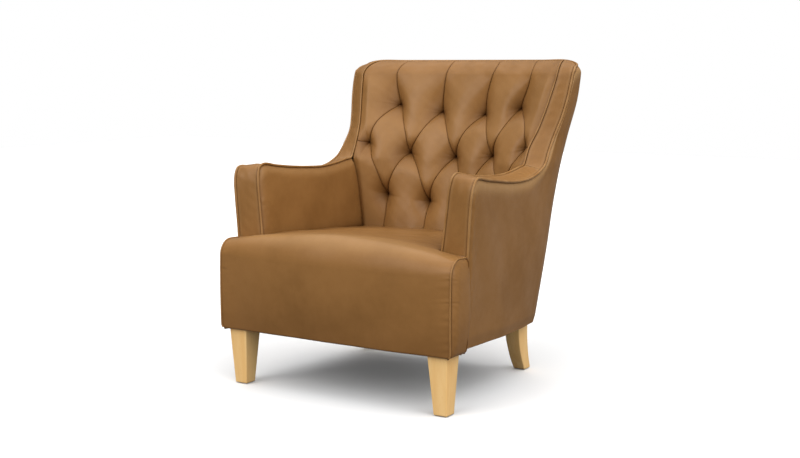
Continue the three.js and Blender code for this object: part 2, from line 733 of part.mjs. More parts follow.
// Seams that bound a side piece, set into the body and outwards under the border: first up the
// arm's front, as depth over height, then over the top, as a curve.
const armCornerAt = straightRows * fineness;
function rimOf(seam, end, inset, outwards = 0) {
  const rim = sidePlaces.slice(0, end + 1).map((place) => {
    const p = place[seam].clone().addScaledVector(place.into, inset);
    return p.addScaledVector(place.across, -outwards);
  });
  const front = rim.slice(0, armCornerAt + 1);
  const frontY = throughTable(front.map((p) => p.z), front.map((p) => p.y));
  return { frontY, top: rim.slice(armCornerAt) };
}

// A place on a four-sided patch in side view, from its four edges. u runs back and v runs up.
function patch({ frontY, top }, rearY, footZ, u, v) {
  const at = u * (top.length - 1);
  const low = top[Math.floor(at)];
  const over = low.clone().lerp(top[Math.ceil(at)], at - Math.floor(at));
  const frontZ = lerp(footZ, top[0].z, v);
  const rearZ = lerp(footZ, top.at(-1).z, v);
  const foot = lerp(frontY(footZ), rearY(footZ), u);
  const topY = lerp(top[0].y, rearY(top.at(-1).z), u);
  const topZ = lerp(top[0].z, top.at(-1).z, u);
  const y = lerp(frontY(frontZ), rearY(rearZ), u) + (over.y - topY) * v + lerp(foot, topY, v);
  const z = lerp(frontZ, rearZ, u) + (over.z - topZ) * v;
  return [y - lerp(foot, topY, v), z];
}

// Inside arm: a crowned pad from the border back to the tufted back, tucked in at the seat.
function insideArmGeometry() {
  const nearRim = rimOf('inner', crossAt, borderThickness + softGap + gap);
  const farRim = rimOf('inner', crossAt, borderThickness + cornerGap, armPad);
  const rearY = (z) => seamY(z) - gap;
  const near = (u, v) => {
    const [y, z] = patch(nearRim, rearY, armPadFoot, u, v);
    return point(armFaceX(y, z), y, z);
  };
  const far = (u, v) => {
    const [y, z] = patch(farRim, rearY, armPadFoot, u, v);
    return point(armX(y, z) + armPad, y, z);
  };
  return slab(near, far, steps(16), steps(8));
}

// Outside panel: from the front seam to the rear corner and from the underside to the seam
// that runs over the arm and up the wing. Its leather is skived thinner along those seams.
const sidePlainShare = 0.67;
const sideTopShares = [0.75, 0.82, 0.88, 0.93, 0.97, 0.985, 1];
function outsideArmGeometry() {
  const end = (wingEnd + topCornerShares.length) * fineness;
  const rim = rimOf('outer', end, outerCord - cordProud + 2 * softGap);
  const sheet = (crown, thickness) => (u, v) => {
    const [y, z] = patch(rim, rearDepth, clearHeight, u, v);
    const skived = Math.max(1 - Math.min(u, 1 - v) / skiveRunShare, 0) * skiveShare;
    const x = sideX(y, z) + crown * 4 * u * (1 - u) * (1 - v);
    return point(x - thickness * (1 - skived), y, z);
  };
  const rowShares = [...steps(7, 0, sidePlainShare), ...sideTopShares];
  return slab(sheet(sideBulge, 0), sheet(0, coverThickness), steps(20), rowShares);
}

// A border strip between its two seams over a run of places.
function borderGeometry(places) {
  const outerInset = outerCord - cordProud + cordGap;
  const innerInset = innerCord / 2 + cordGap;
  const last = places.length - 1;
  const at = (i, v, into) => {
    const { outer, inner, along, across } = places[i];
    const from = outer.clone().addScaledVector(across, outerInset);
    const to = inner.clone().addScaledVector(across, -innerInset);
    const end = i === 0 ? gap / 2 : i === last ? -gap / 2 : 0;
    const p = from.lerp(to, v).addScaledVector(along, end);
    return p.addScaledVector(places[i].into, into);
  };
  const near = (i, v) => at(i, v, -borderBulge * 4 * v * (1 - v));
  const far = (i, v) => at(i, v, borderThickness);
  return slab(near, far, places.map((_, i) => i), steps(2));
}

// The piping of a seam over a run of places: six-sided rings about the seam's own directions.
function pipingGeometry(seam, diameter, inward, places) {
  const rest = diameter / 2 - cordProud;
  const ring = (place) => {
    const centre = place[seam].clone().addScaledVector(place.into, rest);
    centre.addScaledVector(place.across, inward * rest);
    return steps(6, 0, 2 * Math.PI).slice(1).map((turn) => {
      const p = centre.clone().addScaledVector(place.across, (diameter / 2) * Math.cos(turn));
      return p.addScaledVector(place.into, (diameter / 2) * Math.sin(turn));
    });
  };
  return loft(places.map(ring), flattenXY);
}

const everySecond = (places) => places.filter((_, i) => i % 2 === 0);

// The outer piping runs on down behind the seat to the underside.
function pipingFoot() {
  const z = clearHeight + gap;
  const outer = point(sideX(armFront, z), armFront, z);
  return { ...sidePlaces[0], outer };
}

// Outside back: a bowed panel between the rear corners, finer where they turn.
const backPanelShares = [
  0.07, 0.15, 0.25, 0.35, 0.45, 0.54, 0.62, 0.69, 0.75, 0.8, 0.85, 0.89, 0.92,
];
const backCornerShares = [0.945, 0.965, 0.985, 0.995, 1];
function outsideBackGeometry() {
  const top = overallHeight - outerCord + cordProud - cordGap;
  const turned = rearTurn / (top - clearHeight);
  const riseShares = [0, turned / 2, turned, ...backPanelShares, ...backCornerShares];
  const at = (u, v, depth) => {
    const z = lerp(clearHeight, top, v);
    const edge = rearHalf(z + outerCord) - coverThickness - cornerGap;
    return point(u * edge, rearFace(u * edge, z) - depth, z);
  };
  const near = (u, v) => at(u, v, 0);
  const far = (u, v) => at(u, v, coverThickness);
  return slab(near, far, steps(20, -1, 1), riseShares);
}

// Free faces inside the covers, where the frame can lie.
const frameOuter = (y, z) => sideX(y, z) - coverThickness - frameGap;
const frameRear = (x, z) => rearFace(x, z) - coverThickness - frameGap;
const cavityHalf = seatHalf - seatEndWall;
const railOuter = (y, z) => Math.min(frameOuter(y, z), cavityHalf - gap);
const frameArm = (y, z) => armX(y, z) + armPad + frameGap;
const postInner = (z) => seamX(z) - innerCord / 2 + frameGap;

function postFront(x, z) {
  const wing = z > wingStart ? wingY(z) + boardSetback : 0;
  return Math.max(frameRear(x, z) - postDepth, wing);
}

function backPostGeometry() {
  const section = (z) => {
    const inner = postInner(z);
    const free = Math.min(frameOuter(rearDepth(z), z), frameOuter(postFront(rearHalf(z), z), z));
    const outer = free - boardPadding * smoothstep(z, flareStart, flareStart + flareRun);
    return [
      point(inner, postFront(inner, z), z),
      point(outer, postFront(outer, z), z),
      point(outer, frameRear(outer, z), z),
      point(inner, frameRear(inner, z), z),
    ];
  };
  return loft(steps(20, railFoot, overallHeight - postDrop).map(section), flattenXY);
}

// A plank behind the outside panel: y and z give its outline, near and far its two faces.
function plank(yAt, zAt, outerAt, innerAt, columns, rows) {
  const sheet = (xAt) => (u, v) => {
    const z = zAt(u, v);
    const y = yAt(u, z);
    return point(xAt(y, z), y, z);
  };
  return slab(sheet(outerAt), sheet(innerAt), steps(columns), steps(rows));
}

const armPostFront = armFront + postInset;
const armPostRear = armPostFront + armPostDepth;

function armPostGeometry() {
  const yAt = (u) => lerp(armPostFront, armPostRear, u);
  const zAt = (u, v) => lerp(railTop + gap, armTopZ(yAt(u)) - frameSetback, v);
  return plank(yAt, zAt, frameOuter, frameArm, 4, 6);
}

function armRailGeometry() {
  const end = (z) => postFront(frameOuter(rearDepth(z), z), z) - gap;
  const yAt = (u, z) => lerp(armPostRear + gap, end(z), u);
  const zAt = (u, v) => {
    const y = lerp(armPostRear + gap, end(wingStart), u);
    return armTopZ(y) - frameSetback - armRailHeight * (1 - v);
  };
  return plank(yAt, zAt, frameOuter, frameArm, 12, 2);
}

function wingBoardGeometry() {
  const rear = (z) => postFront(frameOuter(rearDepth(z), z), z) - gap;
  const front = (z) => wingY(Math.max(z, wingStart)) + boardSetback;
  const yAt = (u, z) => lerp(front(z), rear(z), u);
  const foot = wingStart - frameSetback + gap;
  const zAt = (u, v) => lerp(foot, lerp(wingStart, wingHead, boardTopShare), v);
  const outer = (y, z) => frameOuter(y, z) - boardPadding;
  const inner = (y, z) => outer(y, z) - boardThickness;
  return plank(yAt, zAt, outer, inner, 2, 6);
}

function sideRailGeometry() {
  const front = seatWall + railThickness + 2 * gap;
  const rear = (z) => postFront(frameOuter(rearDepth(z), z), z) - gap;
  const yAt = (u, z) => lerp(front, rear(z), u);
  const zAt = (u, v) => lerp(railFoot, railTop, v);
  const inner = (y, z) => railOuter(y, z) - sideRailThickness;
  return plank(yAt, zAt, railOuter, inner, 8, 4);
}

// A rail that bends with the back between the two posts.
function backRail(foot, height, frontAt, rearAt) {
  const at = (face) => (u, v) => {
    const z = lerp(foot, foot + height, v);
    const x = u * (postInner(z) - gap);
    return point(x, face(x, z), z);
  };
  return slab(at(frontAt), at(rearAt), steps(16, -1, 1), steps(2));
}

const crestFoot = overallHeight - crestDrop;
const tackFoot = backFoot + tackLift;
const strapFace = (x, z) => backFace(x, z) + padDepth(z) + 2 * frameGap;
const behindStrap = (x, z) => strapFace(x, z) + strapThickness + softGap;
const crestRail = () => backRail(crestFoot, crestHeight, behindStrap, frameRear);
const tackRear = (x, z) => Math.min(behindStrap(x, z) + tackThickness, frameRear(x, z));
const tackRail = () => backRail(tackFoot, tackHeight, behindStrap, tackRear);
const rearRailFront = (x, z) => frameRear(x, z) - railThickness;
const rearRail = () => backRail(railFoot, railTop - railFoot, rearRailFront, frameRear);

function strapGeometry(middle) {
  const at = (face) => (u, v) => {
    const x = middle + (u - 0.5) * strapWidth;
    const z = lerp(tackFoot + tackHeight - strapLap, crestFoot + strapLap, v);
    return point(x, face(x, z), z);
  };
  return slab(at(strapFace), at((x, z) => strapFace(x, z) + strapThickness), steps(2), steps(20));
}

// Places of the legs' bolts.
const frontBolt = point(legOuter - legTop / 2, legFront + legDepth / 2, 0);
const sideRailInner = railOuter(rearDepth(railFoot), railFoot) - sideRailThickness;
const rearBlockX = Math.min(postInner(railFoot), sideRailInner) - gap;
const blockRearY = (x) => rearRailFront(x, railFoot) - gap;
const rearBolt = point(rearBlockX - boltInset, blockRearY(rearBlockX) - boltInset, 0);
const bolts = { front: frontBolt, rear: rearBolt };
const rearLegOuter = rearBlockX + rearLegReach;
const rearLegFront = rearBolt.y - rearLegAhead;
const plates = {
  front: frontBolt,
  rear: point(rearLegOuter - rearLegWidth / 2, rearLegFront + rearLegDepth / 2, 0),
};

function boltHole({ x, y }) {
  const foot = clearHeight - boltInLeg;
  return bar(boltRadius + gap, x, y, foot - gap, railFoot + boltInFrame + gap);
}

function prism(corners, foot, height) {
  const shape = new THREE.Shape(corners.map(([x, y]) => new THREE.Vector2(x, y)));
  const geometry = new THREE.ExtrudeGeometry(shape, { depth: height, bevelEnabled: false });
  geometry.translate(0, 0, foot);
  return geometry;
}

function frontBlockGeometry() {
  const front = seatWall + railThickness + 2 * gap;
  const foot = railFoot + blockLift;
  const x = (y) => railOuter(y, foot) - sideRailThickness - gap;
  const corners = [[x(front), front], [x(front + blockLeg), front + blockLeg],
    [x(front) - blockLeg, front]];
  return prism(corners, foot, blockHeight);
}

function rearBlockGeometry() {
  const far = rearBlockX - blockLeg;
  const rear = blockRearY(rearBlockX);
  const corners = [[rearBlockX, rear], [rearBlockX, rear - blockLeg], [far, blockRearY(far)]];
  return cut(prism(corners, railFoot, blockHeight), boltHole(rearBolt));
}

function frontRailGeometry() {
  const half = cavityHalf - gap;
  const front = seatWall + gap;
  const low = point(-half, front, railFoot);
  const rail = block(low, point(half, front + railThickness, railTop));
  return cut(rail, boltHole(frontBolt), boltHole(flipX(frontBolt)));
}

// Sinuous spring: a wire in even waves from the front rail to the rear rail.
function springGeometry(x) {
  const z = railTop + gap + springWire / 2;
  const from = seatWall + railThickness - springRest;
  const to = rearRailFront(x, railTop) + springRest;
  const turns = springWaves * 4;
  const line = steps(turns).map((t, i) => {
    const swing = i === 0 || i === turns ? 0 : springSwing * Math.sin((Math.PI * i) / 2);
    return point(x + swing, lerp(from, to, t), z);
  });
  const curve = new THREE.CatmullRomCurve3(line, false, 'centripetal');
  return cord(curve, springWire / 2, 4, springWaves * 6);
}

// A flat pad under the deck, between two heights.
function underPad(foot, thickness, rearAt) {
  const half = postInner(railFoot) - feltInset;
  const at = (z) => (u, v) => {
    const x = u * half;
    return point(x, lerp(seatWall + feltInset, rearAt(x), v), z);
  };
  return slab(at(foot), at(foot + thickness), steps(8, -1, 1), steps(2));
}

function linerGeometry() {
  const rise = railFoot - gap - linerThickness;
  const inset = coverThickness + linerInset;
  const at = (z) => (u, v) => {
    const rearY = (x) => rearFace(x, clearHeight) - inset - linerInset;
    const rearX = sideX(rearDepth(clearHeight), clearHeight) - inset;
    const y = lerp(linerFront, rearY(u * rearX), v);
    return point(u * Math.min(sideX(y, clearHeight) - inset, cavityHalf - gap), y, z);
  };
  const sheet = slab(at(rise), at(rise + linerThickness), steps(12, -1, 1), steps(4));
  const reach = (plateSide / 2) * linerNotchShare;
  const notches = Object.values(plates).flatMap((p) => [p, flipX(p)]).map(({ x, y }) => {
    const low = point(x - reach, y - reach, clearHeight);
    return block(low, point(x + reach, y + reach, railFoot));
  });
  return cut(sheet, ...notches);
}

// A square outline with eased corners.
function easedSquare(low, high, z) {
  const outline = [];
  const e = legEase;
  outline.push([low.x + e, low.y], [high.x - e, low.y], [high.x, low.y + e], [high.x, high.y - e]);
  outline.push([high.x - e, high.y], [low.x + e, high.y], [low.x, high.y - e], [low.x, low.y + e]);
  return outline.map(([x, y]) => point(x, y, z));
}

function frontLegSection(up) {
  const width = lerp(legFoot, legTop, up);
  const depth = lerp(legFoot, legDepth, up);
  const outer = legOuter - legInset * (1 - up);
  const front = legFront + legSetback * (1 - up);
  const z = lerp(glideHeight + gap, clearHeight - gap, up);
  return easedSquare(point(outer - width, front, z), point(outer, front + depth, z), z);
}

// The rear leg sweeps back towards the floor, its foot drawn in.
function rearLegSection(up) {
  const sweep = rearLegSweep * (1 - up) ** 2;
  const depth = lerp(rearLegDepth, rearLegFootDepth, (1 - up) ** 2);
  const width = lerp(rearLegFootWidth, rearLegWidth, up);
  const outer = rearLegOuter - rearLegInset * (1 - up);
  const front = rearLegFront + sweep;
  const z = lerp(glideHeight + gap, clearHeight - gap, up);
  return easedSquare(point(outer - width, front, z), point(outer, front + depth, z), z);
}

function footCentre(section) {
  const box = new THREE.Box3().setFromPoints(section(0));
  return box.getCenter(point(0, 0, 0));
}

function legGeometry(section, count, bolt) {
  const { x, y } = footCentre(section);
  const leg = loft(steps(count).map(section), flattenXY);
  const stemHole = bar(glideStemRadius + gap, x, y, 0, glideStem + 2 * gap, 8);
  return cut(leg, boltHole(bolt), stemHole);
}

// Nail-on glide: a domed disc with a stem that sits in the foot.
function glideGeometry(section) {
  const { x, y } = footCentre(section);
  const rim = glideRadius - glideHeight / 2;
  const profile = [
    [0, 0], [rim, 0], [glideRadius, glideHeight / 2], [glideRadius, glideHeight],
    [glideStemRadius, glideHeight], [glideStemRadius, glideStem], [0, glideStem + gap],
  ];
  const lathe = new THREE.LatheGeometry(profile.map(([r, z]) => new THREE.Vector2(r, z)), 16);
  lathe.rotateX(Math.PI / 2);
  lathe.translate(x, y, 0);
  return fromSolid(toSolid(lathe));
}

function plateGeometry({ x, y }, bolt) {
  const half = plateSide / 2;
  const low = point(x - half, y - half, clearHeight);
  const plate = block(low, point(x + half, y + half, railFoot - gap));
  return cut(plate, boltHole(bolt));
}

// Legs with their glides, bolts and plates
const legSections = { front: frontLegSection, rear: rearLegSection };
for (const [place, section] of Object.entries(legSections)) {
  const bolt = bolts[place];
  const count = place === 'front' ? 1 : 8;
  addPair(`${place}_leg`, () => legGeometry(section, count, bolt), maple);
  addPair(`${place}_glide`, () => glideGeometry(section), nylon);
  addPair(`${place}_leg_plate`, () => plateGeometry(plates[place], bolt), steel);
  const [foot, head] = [clearHeight - boltInLeg, railFoot + boltInFrame];
  addPair(`${place}_leg_bolt`, () => bar(boltRadius, bolt.x, bolt.y, foot, head, 10), steel);
}

// Frame
add('front_rail', frontRailGeometry(), poplar);
add('rear_rail', rearRail(), poplar);
addPair('side_rail', sideRailGeometry, poplar);
addPair('front_corner_block', frontBlockGeometry, poplar);
addPair('rear_corner_block', rearBlockGeometry, poplar);
addPair('arm_post', armPostGeometry, poplar);
addPair('arm_rail', armRailGeometry, poplar);
addPair('wing_board', wingBoardGeometry, poplar);
addPair('back_post', backPostGeometry, poplar);
add('crest_rail', crestRail(), poplar);
add('lumbar_rail', tackRail(), poplar);

// Springs and webbing
const springPitch = (2 * (postInner(railTop) - springEdge)) / (springCount - 1);
for (let i = 0; i < springCount; i += 1) {
  add(`seat_spring_${i + 1}`, springGeometry((i - (springCount - 1) / 2) * springPitch), steel);
}
['left', 'centre', 'right'].forEach((name, i) => {
  add(`back_strap_${name}`, strapGeometry((i - 1) * strapPitch), webbing);
});
const feltFoot = railTop + springWire + 2 * gap;
const foamFoot = feltFoot + feltThickness + gap;
const feltRear = (x) => rearRailFront(x, railTop) + springRest;
add('spring_felt', underPad(feltFoot, feltThickness, feltRear), felt);
const foamRear = (x) => deckRear(x, backFoot);
add('seat_foam', underPad(foamFoot, seatUnder - gap - foamFoot, foamRear), foam);
add('dust_cover', linerGeometry(), blackCloth);

// Covers
add('seat', seatGeometry(), leather);
add('tufted_back', tuftedBackGeometry(), leather);
addPair('inside_arm', insideArmGeometry, leather);
addPair('outside_arm', outsideArmGeometry, leather);
add('outside_back', outsideBackGeometry(), leather);
addPair('arm_border', () => borderGeometry(sidePlaces.slice(0, crossAt + 1)), leather);
addPair('wing_border', () => borderGeometry(sidePlaces.slice(crossAt, tipAt + 1)), leather);
const outerLine = [pipingFoot(), ...everySecond(allPlaces), flipPlace(pipingFoot())];
add('outer_piping', pipingGeometry('outer', outerCord, 1, outerLine), cordLeather);
const innerLine = everySecond(sidePlaces.slice(0, tipAt + 1));
addPair('inner_piping', () => pipingGeometry('inner', innerCord, 0, innerLine), cordLeather);

export default chair;
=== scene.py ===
import math

import bmesh
import bpy
import numpy as np
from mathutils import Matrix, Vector


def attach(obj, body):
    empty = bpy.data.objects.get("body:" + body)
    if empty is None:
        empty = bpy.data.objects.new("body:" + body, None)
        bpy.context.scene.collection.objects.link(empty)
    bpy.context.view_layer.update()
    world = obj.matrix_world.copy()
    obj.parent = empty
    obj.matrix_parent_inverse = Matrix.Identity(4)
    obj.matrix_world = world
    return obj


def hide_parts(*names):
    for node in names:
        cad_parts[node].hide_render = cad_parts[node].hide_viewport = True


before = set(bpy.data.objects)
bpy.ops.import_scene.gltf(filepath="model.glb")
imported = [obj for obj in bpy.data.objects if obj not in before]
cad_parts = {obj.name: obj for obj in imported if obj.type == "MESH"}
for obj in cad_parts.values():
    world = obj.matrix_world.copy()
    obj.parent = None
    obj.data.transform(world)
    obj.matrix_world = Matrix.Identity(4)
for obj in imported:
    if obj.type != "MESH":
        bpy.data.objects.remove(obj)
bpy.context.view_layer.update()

body = {
    "height": .920, "half": .391, "clear": .162, "rearCorner": .757, "backBow": .060,
    "armFront": .090, "armHeight": .618, "armDrop": .029, "armCorner": .032, "borderFoot": .395,
    "wingFoot": .54504, "wingTop": .71203, "wingHead": .888, "topCorner": .040, "topReach": .060,
    "rollHeight": .042, "rollHalf": .32199, "rollGap": .005, "scoop": .621, "taper": (.016, .036),
    "flare": (.06, -.1), "flareHeights": (.610, .710), "rearTurn": .018, "rearTurnHeight": .030,
    "backFoot": .372, "cordProud": .0015, "hem": .010,
}
bodyTop, bodyFoot, bodyHalf, armFront = [body[k] for k in ("height", "clear", "half", "armFront")]
originShift = -(body["rearCorner"] + body["backBow"] + body["cordProud"]) / 2
bothSides = ("left", -1), ("right", 1)


def lerp(a, b, t):
    # straight from a to b
    return a + (b - a) * t


def smoothStep(x, low, high):
    # 3t2 - 2t3 between two values, level outside
    t = np.clip((x - low) / (high - low), 0, 1)
    return t * t * (3 - 2 * t)


def fade(distance, reach):
    # an exponential fall from one
    return np.exp(-distance / reach)


def bell(x, middle, width):
    # a bell curve of height one
    return np.exp(-((x - middle) / width) ** 2)


def quarterFall(square, share=1.):
    # how far a quarter of a circle has fallen, over the square of the way along it; a share
    # under one stops short of its upright end
    return 1 - np.sqrt(1 - square * share)


def stacked(*parts):
    # coordinates put together as points
    return np.stack(np.broadcast_arrays(*parts), -1)


def unit(vectors):
    # each vector over its length
    return vectors / np.maximum(np.linalg.norm(vectors, axis=-1, keepdims=True), 1e-12)


def squareTo(way, vectors):
    # vectors less their share along a way, at unit length
    return unit(vectors - way * (way * vectors).sum(-1, keepdims=True))


def edgeDense(count, low=0., high=1., ease=.85):
    # steps from low to high that get closer towards both ends, by a share of a half cosine
    t = np.linspace(0, 1, count)
    return lerp(low, high, (1 - ease) * t + ease * (.5 - .5 * np.cos(np.pi * t)))


def throughTable(places, values):
    # a cubic between each two points, with slopes from their neighbours, level past the ends
    index = np.arange(len(places))
    before, after = np.maximum(index - 1, 0), np.minimum(index + 1, len(places) - 1)
    slopes = (values[after] - values[before]) / (places[after] - places[before])

    def follow(at):
        at = np.clip(at, places[0], places[-1])
        i = np.clip(np.searchsorted(places, at) - 1, 0, len(places) - 2)
        step = places[i + 1] - places[i]
        t = (at - places[i]) / step
        bend = t * (1 - t) * ((1 - t) * slopes[i] - t * slopes[i + 1]) * step
        return values[i] + (values[i + 1] - values[i]) * t * t * (3 - 2 * t) + bend

    return follow


def smoothRun(points, fineness):
    # centripetal Catmull-Rom: knots a square root of each chord apart; gives points and slopes
    ends = [2 * points[0] - points[1]], [2 * points[-1] - points[-2]]
    knots = np.vstack([ends[0], points, ends[1]])
    steps = np.sqrt(np.linalg.norm(np.diff(knots, axis=0), axis=1))[:, None]
    p0, p1, p2, p3 = knots[:-3], knots[1:-2], knots[2:-1], knots[3:]
    d0, d1, d2 = steps[:-2], steps[1:-1], steps[2:]
    slope1 = d1 * ((p1 - p0) / d0 - (p2 - p0) / (d0 + d1) + (p2 - p1) / d1)
    slope2 = d1 * ((p2 - p1) / d1 - (p3 - p1) / (d1 + d2) + (p3 - p2) / d2)
    at = np.arange((len(points) - 1) * fineness + 1) / fineness
    i = np.minimum(at.astype(int), len(points) - 2)
    t = (at - i)[:, None]
    square = 2 * p1[i] - 2 * p2[i] + slope1[i] + slope2[i]
    linear = -3 * p1[i] + 3 * p2[i] - 2 * slope1[i] - slope2[i]
    place = p1[i] + slope1[i] * t + linear * t ** 2 + square * t ** 3
    return place, slope1[i] + 2 * linear * t + 3 * square * t ** 2


def waves(seed, scale, count=7):
    # a smooth uneven field: sines in random directions, about scale metres long, added up and
    # divided by the square root of their count
    random = np.random.default_rng(seed)
    ways = unit(random.normal(size=(count, 3))) * (2 * np.pi / scale)
    ways = ways * random.uniform(.6, 1.5, (count, 1))
    starts = random.uniform(0, 2 * np.pi, count)
    return lambda p: np.sin(p @ ways.T + starts).sum(-1) / math.sqrt(count)


# shape of the body: half width and depth of the rear corner, as shares from the foot to the top
rearHeights = lerp(bodyFoot, bodyTop, np.array([0, .27, .44, .58, .71, .85, 1]))
rearHalves = np.array([.824, .872, .888, .907, .939, .984, 1])
rearDepths = np.array([.797, .841, .875, .909, .941, .975, 1])
fullHalf = throughTable(rearHeights, rearHalves * bodyHalf)
rearLine = throughTable(rearHeights, rearDepths * body["rearCorner"])


def rearHalf(z):
    # half width at the rear corner, less a quarter of an ellipse at the rounded upper corners
    into = np.clip((z - bodyTop + body["topCorner"]) / body["topCorner"], 0, 1)
    return fullHalf(z) - body["topReach"] * quarterFall(into ** 2)


def rearDepth(z):
    # depth of the rear corner, less a part of a circle where the lower edge turns under
    under = np.clip(1 - (z - bodyFoot + body["hem"]) / body["rearTurnHeight"], 0, 1)
    return rearLine(z) - body["rearTurn"] * quarterFall(under ** 2, .95)


def sideX(y, z):
    # the outside panel widens towards the front low down, and draws in on the wing
    flare = lerp(*body["flare"], smoothStep(z, *body["flareHeights"]))
    return rearHalf(z) + (rearDepth(z) - y) * flare


def rearFace(x, z):
    # the outside back bows out by a parabola
    return rearDepth(z) + body["backBow"] * (1 - (x / fullHalf(z)) ** 2)


# side seam of the inside back: above the scoop or not, how far up that part, half width, depth at
# the seam and depth in the middle, as shares
seamTable = np.array([
    [0, 0, .725, .779, .795], [0, .11, .729, .777, .805], [0, .51, .749, .76, .841],
    [0, .91, .766, .744, .874], [0, 1, .77, .743, .882], [1, .16, .774, .775, .906],
    [1, .355, .806, .827, .936], [1, .62, .846, .871, .971], [1, .827, .871, .902, .994],
    [1, 1, .882, .927, 1.013],
])
lowSeam = lerp(body["backFoot"], body["scoop"], seamTable[:, 1])
highSeam = lerp(body["scoop"], bodyTop, seamTable[:, 1])
seamHeights = np.where(seamTable[:, 0] > 0, highSeam, lowSeam)
seamX = throughTable(seamHeights, seamTable[:, 2] * bodyHalf)
seamY, middleY = [throughTable(seamHeights, seamTable[:, k] * body["rearCorner"]) for k in (3, 4)]
rollFoot = bodyTop - body["rollHeight"]


def backFace(x, z):
    # the inside back is a hollow, deepest in the middle by a parabola
    return seamY(z) + (middleY(z) - seamY(z)) * (1 - (x / seamX(z)) ** 2)


def rollPoint(across, turn, inset=0.):
    # above rollFoot the cover rolls back over the top: a quarter turn from the face, which it
    # leaves without a kink, to the rear seam, drawing in a little towards it
    rolled = 1 - np.cos(turn)
    x = across * (lerp(seamX(rollFoot), body["rollHalf"], rolled) - inset)
    z = rollFoot + body["rollHeight"] * np.sin(turn)
    reach = rearFace(x, bodyTop) - body["rollGap"] - backFace(x, bodyTop)
    return stacked(x, backFace(x, z) + reach * rolled, z)


def armX(y, z):
    # the inside arm spreads a little towards the front
    up = np.clip((z - body["borderFoot"]) / (body["scoop"] - body["borderFoot"]), 0, 1)
    return seamX(z) + (seamY(z) - y) * lerp(*body["taper"], up)


def rearPoint(across):
    # the rear seam along the top, dropping by a quarter of an ellipse at its corners
    x = bodyHalf * across
    into = np.clip((x - bodyHalf + body["topReach"]) / body["topReach"], 0, 1)
    z = bodyTop - body["topCorner"] * quarterFall(into ** 2)
    return stacked(x, rearFace(x, z), z)


# stations of the border: outer seam along and up, inner seam along and up, as shares
frontShares = np.array([
    [0, 0, .16, 0], [-.02, .29, .25, .29], [-.06, .56, .3, .56], [0, .816, .36, .83],
    [.22, .924, .5, .93], [.53, .982, .75, 1], [1, 1, 1.375, 1.036],
])
topShares = np.array([
    [.137, .276, .161, 0], [.314, .586, .326, .276], [.515, .9, .515, .48], [.678, 1, .678, .55],
    [.823, .91, .823, .38], [.93, .655, .953, .1], [1, .31, 1.03, -.08],
])
wingShares = np.array([
    [.18, .057, .1], [.36, .178, .214], [.569, .338, .381], [.713, .509, .537],
    [.82, .698, .708], [.922, .893, .886], [1, 1, .964],
])
topCornerShares = np.array([.97, .88, .7])
topAcrossShares = np.array([.93, .85, .62, .4, .2, 0, -.2])
tipTurnShares = np.array([.28, .44, .62, .81, 1])
fineness = 16
armCornerAt = 4 * fineness
crossAt = (len(frontShares) + len(topShares) - 1) * fineness
wingAt = crossAt + len(wingShares) * fineness
tipAt = wingAt + len(tipTurnShares) * fineness


def borderStations():
    # outer seam from the arm's foot, over the arm, up the wing, round the corner and along the
    # top; inner seam beside it up to its end on the roll
    armTop = armFront + body["armCorner"]
    y = np.vstack([armFront + frontShares[:, [0, 2]] * body["armCorner"],
                   armTop + topShares[:, [0, 2]] * (body["wingFoot"] - armTop)])
    rise = body["armHeight"] - body["borderFoot"]
    z = np.vstack([body["borderFoot"] + frontShares[:, [1, 3]] * rise,
                   body["armHeight"] - topShares[:, [1, 3]] * body["armDrop"]])
    outer = stacked(sideX(y[:, 0], z[:, 0]), y[:, 0], z[:, 0])
    inner = stacked(armX(y[:, 1], z[:, 1]), y[:, 1], z[:, 1])
    wingY = lerp(body["wingFoot"], body["wingTop"], wingShares[:, 0])
    wingZ, seamZ = lerp(z[-1, 0], body["wingHead"], wingShares[:, 1:].T)
    wingOuter = stacked(sideX(wingY, wingZ), wingY, wingZ)
    wingInner = stacked(seamX(seamZ), seamY(seamZ), seamZ)
    corner = rearPoint(lerp(1 - body["topReach"] / bodyHalf, 1, topCornerShares))
    turned = (1 - topCornerShares) / (1 - topCornerShares[-1])
    corner[:, 1] = lerp(body["wingTop"], corner[:, 1], turned)
    corner[:, 0] = sideX(corner[:, 1], corner[:, 2])
    tip = rollPoint(1., tipTurnShares * np.pi / 2)
    return (np.vstack([outer, wingOuter, corner, rearPoint(topAcrossShares)]),
            np.vstack([inner, wingInner, tip]))


def borderPlaces():
    # along both seams: the seams, the way along, across from outer to inner, and into the body.
    # Past the border's tip the way across turns forward, over the roll.
    (outer, outerWay), (inner, innerWay) = [smoothRun(s, fineness) for s in borderStations()]
    outer, outerWay = outer[:-fineness], unit(outerWay[:-fineness])
    at = np.arange(len(outer))
    held = np.minimum(at, tipAt)
    inner, innerWay = inner[held], unit(innerWay[held])
    onBorder = (at <= tipAt)[:, None]
    along = np.where(onBorder, unit(outerWay + innerWay), outerWay)
    tipAcross = unit(inner[tipAt] - outer[tipAt])
    past = smoothStep(at, tipAt, tipAt + 2 * fineness)[:, None]
    forward = squareTo(along, unit(lerp(tipAcross, np.array([0., -1, 0]), past)))
    across = np.where(onBorder, unit(inner - outer), forward)
    return {"outer": outer, "inner": inner, "along": along, "across": across,
            "into": unit(np.cross(across, along))}


side = borderPlaces()


def part(places, first, last, sign=1):
    # the places from one station to another, turned over in x where the sign is negative
    return {name: row[first:last + 1] * [sign, 1, 1] for name, row in places.items()}


def overTheTop(places):
    # the same places carried on to the far side, turned over in x
    flip = np.array([-1, 1, 1])
    return {name: np.vstack([row, row[-2::-1] * (-flip if name == "along" else flip)])
            for name, row in places.items()}


# meshes from grids
def addObject(name, data):
    # a thing at the origin with its data
    thing = bpy.data.objects.new(name, data)
    bpy.context.scene.collection.objects.link(thing)
    return thing


